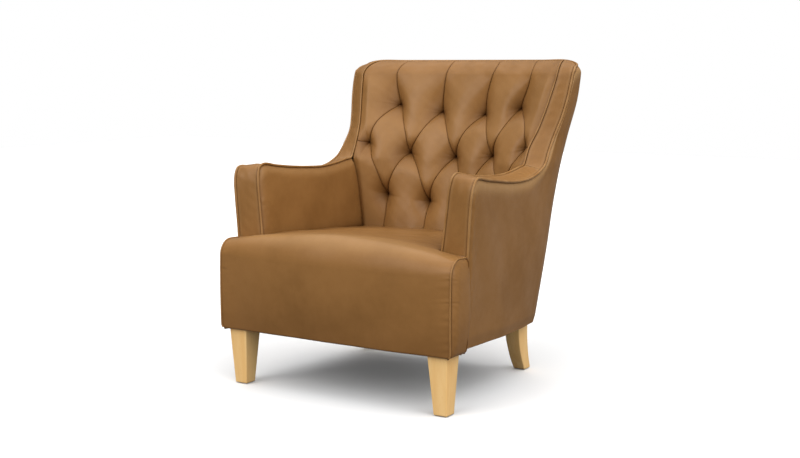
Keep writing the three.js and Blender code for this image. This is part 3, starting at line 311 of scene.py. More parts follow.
def makeMesh(name, points, quads, others=(), values=None, smooth=40):
    # quads and a few longer faces over points, with values at the points under their labels
    mesh = bpy.data.meshes.new(name)
    loops = np.concatenate([quads.ravel(), *others]).astype(np.int32)
    sizes = np.concatenate([np.full(len(quads), 4), [len(o) for o in others]]).astype(np.int32)
    moved = points + [0, originShift, 0]
    mesh.vertices.add(len(moved))
    mesh.vertices.foreach_set("co", moved.astype(np.float32).ravel())
    mesh.loops.add(len(loops))
    mesh.loops.foreach_set("vertex_index", loops)
    mesh.polygons.add(len(sizes))
    mesh.polygons.foreach_set("loop_start", np.concatenate([[0], np.cumsum(sizes)[:-1]]))
    mesh.polygons.foreach_set("loop_total", sizes)
    for label, value in (values or {}).items():
        attribute = mesh.attributes.new(label, "FLOAT", "POINT")
        attribute.data.foreach_set("value", value.astype(np.float32))
    mesh.update(calc_edges=True)
    mesh.validate()
    mesh.polygons.foreach_set("use_smooth", np.ones(len(mesh.polygons), bool))
    mesh.set_sharp_from_angle(angle=math.radians(smooth))
    return addObject(name, mesh)


def gridQuads(columns, rows, start=0, around=False):
    # corners of every cell of a grid, joined up where its rows close on themselves
    i, j = np.meshgrid(np.arange(columns - 1), np.arange(rows - (not around)), indexing="ij")
    nextJ = (j + 1) % rows
    cells = stacked(i * rows + j, (i + 1) * rows + j, (i + 1) * rows + nextJ, i * rows + nextJ)
    return start + cells.reshape(-1, 4)


coarse = 8  # fine cells to each coarse one behind a cover


def slabMesh(name, near, far, values, sign=1):
    # a closed body: a fine sheet, a coarse sheet behind it and a wall of long faces between them
    (columns, rows), (farColumns, farRows) = near.shape[:2], far.shape[:2]
    start = columns * rows
    nearAt = np.arange(start).reshape(columns, rows)
    farAt = start + np.arange(farColumns * farRows).reshape(farColumns, farRows)
    quads = np.vstack([gridQuads(columns, rows), gridQuads(farColumns, farRows, start)[:, ::-1]])
    edges = [(nearAt[::-1, 0], farAt[::-1, 0]), (nearAt[:, -1], farAt[:, -1]),
             (nearAt[0], farAt[0]), (nearAt[-1, ::-1], farAt[-1, ::-1])]
    walls = [np.concatenate([line[k * coarse:(k + 1) * coarse + 1], behind[[k + 1, k]]])
             for line, behind in edges for k in range(len(behind) - 1)]
    normals = np.cross(near[1:, :-1] - near[:-1, :-1], near[:-1, 1:] - near[:-1, :-1])
    outwards = near[:-1, :-1] - far[farColumns // 2, farRows // 2]
    if ((normals * outwards).sum() < 0) != (sign < 0):
        quads, walls = quads[:, ::-1], [w[::-1] for w in walls]
    values = {k: np.concatenate([v.ravel(), np.zeros(farAt.size)]) for k, v in values.items()}
    points = np.concatenate([near.reshape(-1, 3), far.reshape(-1, 3)]) * [sign, 1, 1]
    return makeMesh(name, points, quads, walls, values)


def ringMesh(name, rings, values, smooth):
    # rings joined into a skin and closed at both ends, turned round if its volume is negative
    sides, points = rings.shape[1], rings.reshape(-1, 3)
    quads = gridQuads(len(rings), sides, around=True)
    ends = [np.arange(sides)[::-1], np.arange(sides) + len(points) - sides]
    a, b, c, d = [points[quads[:, k]] for k in range(4)]
    if (np.cross(a, b) * c).sum() + (np.cross(a, c) * d).sum() < 0:
        quads, ends = quads[:, ::-1], [end[::-1] for end in ends]
    return makeMesh(name, points, quads, ends, values, smooth)


def cordMesh(name, centre, first, second, radius, sides, rub):
    # a round cord: rings about a line, from two directions at right angles to it
    turn = np.linspace(0, 2 * np.pi, sides, endpoint=False)[None, :, None]
    radius, rub = [np.broadcast_to(v, len(centre)) for v in (radius, rub)]
    rings = first[:, None] * np.cos(turn) + second[:, None] * np.sin(turn)
    rings = centre[:, None] + radius[:, None, None] * rings
    return ringMesh(name, rings, {"rub": np.repeat(rub, sides)}, 60)


def rollIn(distance, radius):
    # a quarter circle that turns a cover's edge inwards, as depth over the distance from its seam
    near = np.clip(1 - distance / radius, 0, 1)
    return radius * quarterFall(near ** 2, .98)


def roundOff(depth, *edges):
    # rounds a padded face off by a quarter of an ellipse at its edges, given as distance and
    # reach, and by both in their corners
    near = sum(np.clip(1 - distance / reach, 0, 1) ** 2 for distance, reach in edges)
    return depth * quarterFall(np.clip(near, 0, 1), .98)


def runLengths(points, axis):
    # length along the grid's lines from their first point
    steps = np.linalg.norm(np.diff(points, axis=axis), axis=-1)
    start = np.zeros_like(np.take(steps, [0], axis=axis))
    return np.concatenate([start, np.cumsum(steps, axis=axis)], axis=axis)


def weldAndThicken(piece, merge, thickness):
    # joins coinciding points, points the faces forward and adds a closed inner wall
    mesh = bmesh.new()
    mesh.from_mesh(piece.data)
    bmesh.ops.remove_doubles(mesh, verts=mesh.verts, dist=merge)
    bmesh.ops.dissolve_degenerate(mesh, edges=mesh.edges, dist=1e-6)
    bmesh.ops.recalc_face_normals(mesh, faces=mesh.faces)
    if sum(face.normal.y * face.calc_area() for face in mesh.faces) > 0:
        bmesh.ops.reverse_faces(mesh, faces=mesh.faces)
    mesh.to_mesh(piece.data)
    mesh.free()
    wall = piece.modifiers.new("lining", "SOLIDIFY")
    wall.thickness = thickness
    wall.offset = -1


def finished(piece, slot, *nodes):
    # the piece takes its slot's material, rides on the body and stands for its nodes
    piece.data.materials.append(slotMaterials[slot])
    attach(piece, "root")
    if nodes:
        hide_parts(*nodes)


# materials
def feed(tree, node, inputs):
    # links or sets a node's inputs, by label or number
    for label, value in inputs.items():
        socket = node.inputs[label]
        if isinstance(value, bpy.types.NodeSocket):
            tree.links.new(value, socket)
        else:
            socket.default_value = value


def addNode(tree, kind, inputs=(), **settings):
    # a node with its settings and inputs
    node = tree.nodes.new("ShaderNode" + kind)
    for label, value in settings.items():
        setattr(node, label, value)
    feed(tree, node, dict(inputs))
    return node


def objectPlace(tree):
    # where a point lies in the room, because every piece has its origin there
    return addNode(tree, "TexCoord").outputs["Object"]


def maths(tree, operation, a, b=0., c=0.):
    # one sum of up to three values
    return addNode(tree, "Math", {0: a, 1: b, 2: c}, operation=operation).outputs[0]


def mixColour(tree, factor, a, b):
    # a colour on the straight line from a to b
    return addNode(tree, "Mix", {0: factor, 6: a, 7: b}, data_type="RGBA").outputs[2]


def spread(tree, value, low, high, toLow=0., toHigh=1.):
    # a smooth step between two limits, from one value to another
    inputs = enumerate((value, low, high, toLow, toHigh))
    return addNode(tree, "MapRange", inputs, interpolation_type="SMOOTHSTEP").outputs[0]


def noise(tree, place, scale, detail=2., roughness=.5, distortion=0., output=0, **settings):
    # a cloudy field with about scale lumps to the metre
    inputs = {"Vector": place, "Scale": scale, "Detail": detail, "Roughness": roughness,
              "Distortion": distortion}
    return addNode(tree, "TexNoise", inputs, **settings).outputs[output]


def fromHex(text, shade=1.):
    # an sRGB colour as linear values, all but its alpha times a shade
    srgb = np.array([int(text[k:k + 2], 16) for k in (0, 2, 4)]) / 255
    linear = np.where(srgb <= .04045, srgb / 12.92, ((srgb + .055) / 1.055) ** 2.4)
    return (*(linear * shade).tolist(), 1.)


def socketGroup(name, inputs, outputs):
    # a node group with inputs that have values and outputs of named kinds
    group = bpy.data.node_groups.new(name, "ShaderNodeTree")
    for label, value in inputs.items():
        kind = "NodeSocketFloat" if isinstance(value, float) else "NodeSocketColor"
        socket = group.interface.new_socket(name=label, in_out="INPUT", socket_type=kind)
        socket.default_value = value
    for label, kind in outputs.items():
        group.interface.new_socket(name=label, in_out="OUTPUT", socket_type="NodeSocket" + kind)
    start, end = [group.nodes.new("NodeGroup" + way) for way in ("Input", "Output")]
    return group, start.outputs, end


# the dye's three tones, a dark colour for painted shade, and a pale colour for worn places and painted
# highlights
hide = {
    "Light": "92683a", "Mid": "855d30", "Dark": "6c4821", "fold": "401f08", "rub": "b48e60",
    "blotch": 4.5, "cloud": 26., "pore": 520., "pebble": 420., "roughness": .38, "gloss": .2,
    "grain": .35, "grainHeight": .0004,
}


def hideTones(shade=1.):
    # the dye's three tones, times a shade
    return {label: fromHex(hide[label], shade) for label in ("Light", "Mid", "Dark")}


def hideToneGroup():
    # clouds of lighter and darker dye: two noises mix three tones; painted shade goes darker, worn places
    # and painted highlights paler
    inputs, outputs = {**hideTones(), "Fold": 0., "Rub": 0.}, {"Color": "Color", "Cloud": "Float"}
    group, given, end = socketGroup("hideTone", inputs, outputs)
    place = objectPlace(group)
    blotch = noise(group, place, hide["blotch"], 4., .6)
    cloud = noise(group, place, hide["cloud"], 5., .65)
    speck = noise(group, place, hide["pore"])
    both = maths(group, "MULTIPLY_ADD", blotch, .6, maths(group, "MULTIPLY", cloud, .4))
    tone = mixColour(group, spread(group, both, .25, .75), given["Mid"], given["Light"])
    tone = mixColour(group, spread(group, blotch, .55, .25, 0., .2), tone, given["Dark"])
    tone = mixColour(group, spread(group, speck, .45, .75, 0., .10), tone, given["Dark"])
    tone = mixColour(group, maths(group, "MULTIPLY", given["Rub"], .55), tone, fromHex(hide["rub"]))
    tone = mixColour(group, given["Fold"], tone, fromHex(hide["fold"]))
    feed(group, end, {"Color": tone, "Cloud": both})
    return group


def hideGrainGroup():
    # pebbled grain: rounded cells bent by a noise, fine pores, and long soft creases
    group, given, end = socketGroup("hideGrain", {"Size": hide["pebble"]}, {"Height": "Float"})
    place = objectPlace(group)
    bend = noise(group, place, 60., output="Color")
    shift = addNode(group, "VectorMath", {0: bend, "Scale": .006}, operation="SCALE").outputs[0]
    bent = addNode(group, "VectorMath", {0: place, 1: shift}, operation="ADD").outputs[0]
    cells = {"Vector": bent, "Scale": given["Size"], "Smoothness": .6}
    cells = addNode(group, "TexVoronoi", cells, feature="SMOOTH_F1").outputs[0]
    creases = noise(group, bent, 38., 3., noise_type="RIDGED_MULTIFRACTAL")
    height = maths(group, "MULTIPLY_ADD", noise(group, place, 1400.), .25, cells)
    height = maths(group, "MULTIPLY_ADD", spread(group, creases, .9, 1.5), -.5, height)
    feed(group, end, {"Height": height})
    return group


hideTone, hideGrain = hideToneGroup(), hideGrainGroup()


def newMaterial(name):
    # a material, its tree and its shader
    material = bpy.data.materials.new(name)
    material.use_nodes = True
    return material, material.node_tree, material.node_tree.nodes["Principled BSDF"]


def surface(tree, shader, tone, roughness, height, strength, distance):
    # a shader's colour, its roughness, and a bump from a height
    bump = addNode(tree, "Bump", {"Strength": strength, "Distance": distance, "Height": height})
    feed(tree, shader, {"Base Color": tone, "Roughness": roughness, "Normal": bump.outputs[0]})


def leather(name, shade=1.):
    # the hide's two groups, with the painted shade, the wear and the painted highlights that each piece
    # carries
    material, tree, shader = newMaterial(name)
    worn = {label: addNode(tree, "Attribute", attribute_name=label.lower()).outputs["Fac"]
            for label in ("Fold", "Rub")}
    tone = addNode(tree, "Group", node_tree=hideTone)
    feed(tree, tone, {**hideTones(shade), **worn})
    grain = addNode(tree, "Group", node_tree=hideGrain).outputs["Height"]
    colour, cloud = tone.outputs
    rough = spread(tree, cloud, .3, .7, hide["roughness"] + .07, hide["roughness"] - .06)
    surface(tree, shader, colour, rough, grain, hide["grain"], hide["grainHeight"])
    feed(tree, shader, {"Specular IOR Level": hide["gloss"]})
    return material


def grainedWood(name, pale, warm, ring, roughness, scale=1.):
    # long grain: noises stretched along the height, one of them bent, mix three tones
    material, tree, shader = newMaterial(name)
    stretch = {"Vector": objectPlace(tree), "Scale": (scale, scale, scale * .08)}
    place = addNode(tree, "Mapping", stretch).outputs[0]
    fibre = noise(tree, place, 260., 4., .6)
    figure = noise(tree, place, 26., 3., distortion=.6)
    pore = noise(tree, place, 900., 1.)
    tone = mixColour(tree, spread(tree, figure, .35, .65), fromHex(pale), fromHex(warm))
    tone = mixColour(tree, spread(tree, fibre, .5, .75, 0., .35), tone, fromHex(ring))
    tone = mixColour(tree, spread(tree, pore, .62, .8, 0., .2), tone, fromHex(ring))
    rough = spread(tree, fibre, .3, .8, roughness - .05, roughness + .1)
    surface(tree, shader, tone, rough, fibre, .12, .0003)
    return material


def mottled(name, light, dark, roughness, scale, metallic=0., height=.0003):
    # two tones mixed by a noise, whose height also roughens the surface
    material, tree, shader = newMaterial(name)
    cloud = noise(tree, objectPlace(tree), scale, 5., .65)
    tone = mixColour(tree, spread(tree, cloud, .35, .65), fromHex(light), fromHex(dark))
    rough = spread(tree, cloud, .3, .7, roughness - .06, roughness + .06)
    surface(tree, shader, tone, rough, cloud, .3, height)
    feed(tree, shader, {"Metallic": metallic})
    return material


def woven(name, light, dark, threads):
    # crossing threads: two sine stripes at right angles, alternating by their product
    material, tree, shader = newMaterial(name)
    axes = addNode(tree, "SeparateXYZ", {0: objectPlace(tree)}).outputs
    warp = maths(tree, "SINE", maths(tree, "MULTIPLY", axes[0], threads))
    weft = maths(tree, "SINE", maths(tree, "MULTIPLY", maths(tree, "ADD", axes[1], axes[2]), threads))
    over = maths(tree, "MULTIPLY_ADD", maths(tree, "MULTIPLY", warp, weft), .5, .5)
    surface(tree, shader, mixColour(tree, over, fromHex(dark), fromHex(light)), .9, over, .5, .0003)
    return material


slotMaterials = {
    # the piping's hide is a paler copy of the hide, a painted highlight on the cords
    "leather": leather("hide"), "leather_piping": leather("cordHide", 1.05),
    "maple_wood": grainedWood("lacqueredMaple", "fad08e", "f4c47e", "e6ae67", .38),
}
timber = grainedWood("frameTimber", "cdb891", "bfa77c", "a98d62", .75, .7)
steel = mottled("springSteel", "a4a6a9", "7f8184", .38, 90., 1.)
nodeMaterials = {
    "glide": mottled("glideNylon", "2c2926", "1f1c1a", .55, 200.), "plate": steel, "bolt": steel,
    "spring_felt": mottled("springFelt", "837d74", "5f5a53", 1., 330., 0., .0008),
    "seat_foam": mottled("seatFoam", "e8deb6", "dccf9f", .95, 420., 0., .0008),
    "seat_spring": steel, "back_strap": woven("backWebbing", "4a4745", "2b2927", 2200.),
    "dust_cover": woven("dustCloth", "232324", "141415", 3600.),
    "rail": timber, "block": timber, "post": timber, "board": timber,
}
print("materials made")

# tufted back
tuft = {
    "row": .622, "pitch": .136, "stepShare": .46, "rise": .049, "depth": .031, "full": .016,
    "sideFull": .013, "pit": .066, "sidePit": .030, "pitPower": 2.2, "pleat": -.011,
    "openShare": .45, "crown": 2.2, "bow": .076, "lean": .17, "footLean": .07, "shiftReach": .045,
    "crease": .0032, "creaseReach": .0018, "ray": .0008, "rayReach": .020, "uneven": .0011,
    "ripple": .00035, "roll": .006, "rollLength": .085, "edge": .0004, "halo": .6, "foldReach": .0016,
    "columns": 25, "rows": 33, "merge": 2e-5, "thick": .004,
}
tuftReach = 1 / tuft["stepShare"]
rowFoot = (body["backFoot"] - tuft["row"]) / tuft["pitch"]
rowTop = (rollFoot - tuft["row"]) / tuft["pitch"]
# each tuft's place across and up, in tufts, and how far it is set aside and up
tuftShifts = np.array([
    [-1, 0, -.013, 0], [1.5, 1, -.014, -.006], [.5, 1, .004, -.005], [-1.5, 1, .007, 0],
    [-.5, 1, -.002, -.001], [-1.5, -1, -.008, -.006], [-.5, -1, -.004, -.003], [0, 0, 0, .001],
])
tuftWander, tuftRipple = waves(3, .11), waves(5, .035)


def rowHeight(p, q):
    # rows climb towards the sides by a parabola that fades out at the back's foot and top
    toFoot, toTop = (q - rowFoot) / (-1 - rowFoot), (rowTop - q) / (rowTop - 1)
    hold = np.clip(np.minimum(toFoot, toTop), 0, 1)
    return tuft["row"] + tuft["pitch"] * q + tuft["rise"] * (p / tuftReach) ** 2 * hold


def backPoint(p, q):
    # p tufts across and q rows up, as a place on the hollow back or, past rowTop, on the roll.
    # Each listed tuft draws the cover round it a little aside, by a bell curve, and the upper
    # pleats lean towards one side.
    q, p = np.asarray(q, float), np.asarray(p, float)
    lean = tuft["lean"] * bell(p, .5, 1.1) * (1 - (p / tuftReach) ** 4)
    footLean = tuft["footLean"] * bell(p, -1.5, .5)
    p = p + lean * smoothStep(q, 1, rowTop + .5) - footLean * smoothStep(-q, 1, -rowFoot)
    z = rowHeight(p, np.minimum(q, rowTop))
    x = p / tuftReach * (seamX(z) - tuft["edge"])
    free = smoothStep(tuftReach - np.abs(p), 0, .6) * smoothStep(rowTop - q, 0, .4)
    moved = np.zeros((2,) + x.shape)
    for across, up, *shift in tuftShifts:
        aboutZ = rowHeight(across, up)
        aboutX = across / tuftReach * seamX(aboutZ)
        near = np.exp(-((x - aboutX) ** 2 + (z - aboutZ) ** 2) / tuft["shiftReach"] ** 2) * free
        moved += np.multiply.outer(shift, near)
    x, z = x + moved[0], z + moved[1]
    turned = np.clip(q - rowTop, 0, 1)
    over = rollPoint(p / tuftReach, turned * np.pi / 2, tuft["edge"] * (1 + turned))
    return np.where((q > rowTop)[..., None], over, stacked(x, backFace(x, z), z))


def pleatDepth(q):
    # depth along a pleat: a parabola between two tufts, and a fading one past the outer rows
    past = np.clip((np.abs(q) - 1) / (np.where(q > 0, rowTop + 1, -rowFoot) - 1), 0, 1)
    between = tuft["pleat"] + (tuft["depth"] - tuft["pleat"]) * (2 * np.abs(q) - 1) ** 2
    low = tuft["pleat"] * tuft["openShare"]
    over = low * (1 - np.clip(q - rowTop - .3, 0, .7) / .7)
    over = over + (tuft["depth"] - low) * (1 - past) ** np.where(q > 0, 3.2, 2.6)
    return np.where(np.abs(q) <= 1, between, over)


def pitDepth(away, reach=tuft["pit"], level=tuft["depth"] + tuft["full"]):
    # from the crown's full height the pit falls with a power of the distance left to its rim
    return level * np.clip(1 - away / reach, 0, 1) ** tuft["pitPower"] - tuft["full"]


def panelRows(low, high):
    # rows of a panel, closer together at the levels of the tufts
    spans = (rowFoot, -1), (-1, 0), (0, 1), (1, rowTop), (rowTop, rowTop + 1)
    return np.unique(np.concatenate([edgeDense(tuft["rows"], a, b, .8) for a, b in spans
                                     if low <= a and b <= high]))


def tuftPanel(centre, low, high, leftShare=-1., rightShare=1.):
    # one panel between its pleats. s runs across it and q up. The middle is as deep as the pit
    # of its own tuft, the edges are as deep as their pleats, and between them it is a crown.
    s = edgeDense(tuft["columns"] * 2 - 1, -1, 1, .9)
    s = s[(s >= leftShare - 1e-9) & (s <= rightShare + 1e-9)]
    s, q = np.meshgrid(s, panelRows(low, high), indexing="ij")
    up = np.minimum(np.abs(q), 1)
    below = np.where(q > 0, 1 - up, up) ** .7
    bow = tuft["bow"] * np.sin(np.pi * np.where(np.abs(q) > 1, 0, below)) * np.sign(q)
    whole = low == -1 and high == 1
    width = (1 - up) / 2 + bow if whole else up / 2 - bow
    middle = pitDepth((1 - np.abs(q) if whole else np.abs(q)) * tuft["pitch"])
    depth = lerp(middle, pleatDepth(q), np.abs(s) ** tuft["crown"])
    toPleat = (1 - np.abs(s)) * width * 2 * bodyHalf / tuftReach * .75
    return centre + s * width, q, depth, toPleat


def sidePanel(sign, low, high):
    # the strip between an end tuft and the side seam; a short level pleat runs across its foot
    columns = edgeDense(tuft["columns"] // 2, 0, 1, .7)
    f, q = np.meshgrid(columns, panelRows(low, high), indexing="ij")
    away = np.abs(q) * tuft["pitch"]
    level = lerp(tuft["depth"] + tuft["full"], tuft["sideFull"], f ** .7)
    depth = pitDepth(away, lerp(tuft["pit"], tuft["sidePit"], f ** .8), level)
    return sign * lerp(2, tuftReach, f), q, depth, away


def tuftedPoints(p, q, depth, toPleat):
    # puts a panel on the back, with a sharp crease, rays of pulled leather round each tuft and
    # an uneven face, then rolls it into the seam at the sides and the top
    flat = backPoint(p, q)
    row = np.clip(np.round(q), -1, 1)
    outermost = 2 - np.abs(row) / 2
    nearest = np.clip(np.round(p + row / 2) - row / 2, -outermost, outermost)
    offset = flat - backPoint(nearest, row)
    away = np.linalg.norm(offset, axis=-1)
    turn = np.arctan2(offset[..., 2], offset[..., 0])
    # nine and fourteen rays round each tuft, turned from one tuft to the next
    rays = np.cos(9 * turn + 5 * nearest + 2 * row) + .7 * np.cos(14 * turn + 3 * nearest - row)
    rays = rays * fade(away, tuft["rayReach"]) * np.clip(away / .008, 0, 1) * tuft["ray"]
    uneven = tuft["uneven"] * tuftWander(flat) + tuft["ripple"] * tuftRipple(flat)
    toSide = (1 - np.abs(p) / tuftReach) * seamX(flat[..., 2])
    toTop = np.where(q > rowTop, (rowTop + 1 - q) * tuft["rollLength"], 1.)
    toSeam = np.minimum(toSide, toTop)
    depth = lerp(depth, np.maximum(depth, 0), smoothStep(q, rowTop - .5, rowTop + .35))
    edge = np.minimum(smoothStep(toSide, 0, .03), smoothStep(toTop, 0, .02))
    sewn = smoothStep(toSeam, 0, .004)
    total = (depth + rays + uneven) * edge
    total = total + tuft["crease"] * fade(toPleat, tuft["creaseReach"]) * sewn
    total = total + np.maximum(rollIn(toSide, tuft["roll"]), rollIn(toTop, tuft["roll"] * .6))
    # painted shade: darker along the pleat creases, in the seams, in a halo round each tuft and towards the
    # back's foot
    fold = np.maximum.reduce([
        .9 * fade(toPleat, tuft["foldReach"]) * sewn, .8 * fade(toSeam, .0014),
        tuft["halo"] * (fade(away, tuft["rayReach"]) + fade(away, .006)),
        .25 * smoothStep(-q, 1.1, 1.9),
    ])
    # paler on the crowns
    rub = smoothStep(-depth, 0, tuft["full"]) * .25 * edge
    over = np.clip(q - rowTop, 0, 1) * np.pi / 2
    inwards = stacked(0 * over, np.cos(over), -np.sin(over))
    return flat + inwards * total[..., None], np.clip(fold, 0, 1), rub


def tuftedBack():
    # every panel's grid, laid side by side with edges that coincide
    grids = [tuftPanel(c, -1, 1) for c in (-1.5, -.5, .5, 1.5)]
    for low, high in ((0, rowTop + 1), (rowFoot, 0)):
        grids += [tuftPanel(c, low, high) for c in (-1, 0, 1)]
        grids += [tuftPanel(-2, low, high, 0, 1), tuftPanel(2, low, high, -1, 0)]
        grids += [sidePanel(-1, low, high), sidePanel(1, low, high)]
    sizes = [grid[0].size for grid in grids]
    starts = np.cumsum([0] + sizes)
    quads = np.vstack([gridQuads(*g[0].shape, start) for g, start in zip(grids, starts)])
    places, folds, rubs = zip(*[tuftedPoints(*grid) for grid in grids])
    fold, rub = [np.concatenate([v.ravel() for v in values]) for values in (folds, rubs)]
    points = np.vstack([place.reshape(-1, 3) for place in places])
    return makeMesh("tuftedBack", points, quads, (), {"fold": fold, "rub": rub}, 75)


backPiece = tuftedBack()
weldAndThicken(backPiece, tuft["merge"], tuft["thick"])
finished(backPiece, "leather", "tufted_back")
print("tufted back made")


# side patches
def patchGrid(sizes, low=0.):
    # the two parameters of a patch, closer together towards its edges
    return np.meshgrid(edgeDense(sizes["columns"], low), edgeDense(sizes["rows"]), indexing="ij")


def seamRim(seam, end, inset):
    # a seam of the side set into the body: the front as depth over height, then the top as a run
    rim = side[seam][:end + 1] + side["into"][:end + 1] * inset
    front = rim[:armCornerAt + 1]
    order = np.argsort(front[:, 2])[::4]
    return throughTable(front[order, 2], front[order, 1]), rim[armCornerAt:]


def sidePatch(rim, rearY, footZ, u, v):
    # a place on a four-sided patch seen from the side: straight between the front and the rear
    # edge, and raised in proportion to its height by the top edge's own line
    frontY, top = rim
    at = u * (len(top) - 1)
    low = np.minimum(at.astype(int), len(top) - 2)
    over = lerp(top[low], top[low + 1], (at - low)[..., None])
    frontZ, rearZ = lerp(footZ, top[0, 2], v), lerp(footZ, top[-1, 2], v)
    straightY, straightZ = lerp(top[0, 1], rearY(top[-1, 2]), u), lerp(top[0, 2], top[-1, 2], u)
    return (lerp(frontY(frontZ), rearY(rearZ), u) + (over[..., 1] - straightY) * v,
            lerp(frontZ, rearZ, u) + (over[..., 2] - straightZ) * v)


def edgeDistances(flat):
    # lengths along a patch's lines from its front and foot, and to its rear and top
    fromFront, fromFoot = runLengths(flat, 0), runLengths(flat, 1)
    return fromFront, fromFoot, fromFront[-1:] - fromFront, fromFoot[:, -1:] - fromFoot


insideArm = {
    "columns": 121, "rows": 97, "pad": .028, "bulge": .004, "full": .008, "edge": .014,
    "frontReach": .046, "topReach": .036, "rearRoll": .002, "foot": .385, "rearPast": .011,
    "nearInset": .0022, "farInset": .0058, "pull": .0006, "uneven": .0012, "seatLine": .415,
}
armWander, armPull = waves(21, .13), waves(23, .022)


def insideArmPiece(name, sign):
    # a crowned pad: a half sine up its height, rolled into the seams at its front, top and back
    def armPlace(inset, u, v):
        rim = seamRim("inner", crossAt, inset)
        y, z = sidePatch(rim, lambda z: seamY(z) + insideArm["rearPast"], insideArm["foot"], u, v)
        return stacked(armX(y, z), y, z)

    u, v = patchGrid(insideArm)
    flat = armPlace(insideArm["nearInset"], u, v)
    z = flat[..., 2]
    fromFront, fromFoot, toRear, toTop = edgeDistances(flat)
    edges = (fromFront, insideArm["frontReach"]), (toTop, insideArm["topReach"])
    rolled = roundOff(insideArm["edge"], *edges) + rollIn(toRear, insideArm["rearRoll"])
    rolled = np.minimum(rolled, insideArm["edge"]) - insideArm["full"]
    near = np.minimum.reduce([fromFront, toTop, toRear])
    pull = insideArm["pull"] * armPull(flat) * fade(near, .018) * smoothStep(near, 0, .006)
    uneven = insideArm["uneven"] * armWander(flat) * smoothStep(near, 0, .04)
    up = np.clip((z - insideArm["foot"]) / (body["armHeight"] - insideArm["foot"]), 0, 1)
    inwards = insideArm["bulge"] * np.sin(np.pi * up) - rolled + pull + uneven
    # painted shade in the seams and just above the seat; a painted highlight in a band below the top seam
    fold = .85 * fade(near, .0018) + .25 * fade(z - insideArm["seatLine"], .012)
    values = {"fold": np.clip(fold, 0, 1), "rub": .3 * bell(toTop, .014, .010)}
    far = armPlace(insideArm["farInset"], u[::coarse, ::coarse], v[::coarse, ::coarse])
    far = far + [insideArm["pad"], 0, 0]
    return slabMesh(name, flat - stacked(inwards, 0, 0), far, values, sign)


outsideArm = {
    "columns": 145, "rows": 145, "thick": .009, "bulge": .008, "full": .005, "edge": .012,
    "wingEdge": .35, "topReach": .040, "frontReach": .018, "roll": .005, "inset": .0032,
    "pull": .0007, "uneven": .0014,
}
panelWander, panelPull = waves(31, .17), waves(33, .024)


def outsideArmPiece(name, sign):
    # a panel on the flared side, crowned towards its foot, its edges rolled into their seams
    u, v = patchGrid(outsideArm)
    rim = seamRim("outer", wingAt + len(topCornerShares) * fineness, outsideArm["inset"])
    y, z = sidePatch(rim, rearDepth, bodyFoot - body["hem"] * smoothStep(u, 0, .8), u, v)
    flat = stacked(sideX(y, z), y, z)
    fromFront, fromFoot, toRear, toTop = edgeDistances(flat)
    edges = (toTop, outsideArm["topReach"]), (fromFront, outsideArm["frontReach"])
    depth = outsideArm["edge"] * lerp(1, outsideArm["wingEdge"], smoothStep(u, .45, .75))
    rolls = [rollIn(distance, outsideArm["roll"]) for distance in (toRear, fromFoot)]
    rolled = np.maximum.reduce([roundOff(depth, *edges), *rolls])
    rolled -= outsideArm["full"] * smoothStep(toRear, 0, .04) * smoothStep(fromFoot, 0, .04)
    near = np.minimum(fromFront, toTop)
    pull = outsideArm["pull"] * panelPull(flat) * fade(near, .022) * smoothStep(near, 0, .006)
    uneven = outsideArm["uneven"] * panelWander(flat) * smoothStep(np.minimum(near, toRear), 0, .05)
    outwards = outsideArm["bulge"] * 4 * u * (1 - u) * (1 - v) - rolled + pull + uneven
    # painted shade in the seams; a painted highlight in a band below the top seam, where the panel rolls
    # over
    fold = .8 * fade(near, .0014) + .5 * fade(np.minimum(toRear, fromFoot), .0012)
    values = {"fold": np.clip(fold, 0, 1), "rub": bell(toTop, .012, .020)}
    far = flat[::coarse, ::coarse] - [outsideArm["thick"], 0, 0]
    return slabMesh(name, flat + stacked(outwards, 0, 0), far, values, sign)


outsideBack = {
    "columns": 161, "rows": 145, "thick": .009, "edge": .0015, "topEdge": .0016, "sideRoll": .005,
    "roll": .004, "uneven": .0016,
}
backWander = waves(41, .2)


def outsideBackPiece():
    # the bowed panel between the rear corners, its edges turned in beside them
    u, v = patchGrid(outsideBack, -1)
    top, foot = bodyTop - outsideBack["topEdge"], bodyFoot - body["hem"]
    z = lerp(foot, top, v)
    edge = rearHalf(np.minimum(z + .002, bodyTop)) - outsideBack["edge"]
    flat = stacked(u * edge, rearFace(u * edge, z), z)
    toSide, toTop, toFoot = (1 - np.abs(u)) * edge, top - z, z - foot
    rolls = [rollIn(distance, outsideBack["roll"]) for distance in (toTop, toFoot)]
    rolled = np.maximum.reduce([rollIn(toSide, outsideBack["sideRoll"]), *rolls])
    near = np.minimum(toSide, toTop)
    uneven = outsideBack["uneven"] * backWander(flat) * smoothStep(near, 0, .05)
    # painted shade along the seams
    values = {"fold": .8 * fade(np.minimum(near, toFoot), .0014), "rub": 0 * near}
    far = flat[::coarse, ::coarse] - [0, outsideBack["thick"], 0]
    return slabMesh("outsideBack", flat + stacked(0, uneven - rolled, 0), far, values)


for sideName, sign in bothSides:
    inner = insideArmPiece(f"insideArm_{sideName}", sign)
    finished(inner, "leather", f"inside_arm_{sideName}")
    finished(outsideArmPiece(f"outsideArm_{sideName}", sign), "leather", f"outside_arm_{sideName}")
finished(outsideBackPiece(), "leather", "outside_back")
print("arms and outside back made")

# borders and piping
border = {
    "rows": 33, "thick": .0055, "bulge": .0018, "roll": .004, "outerEdge": .0028,
    "innerEdge": .0020, "endRoll": .0022, "pull": .0004,
}
borderPull = waves(51, .020)


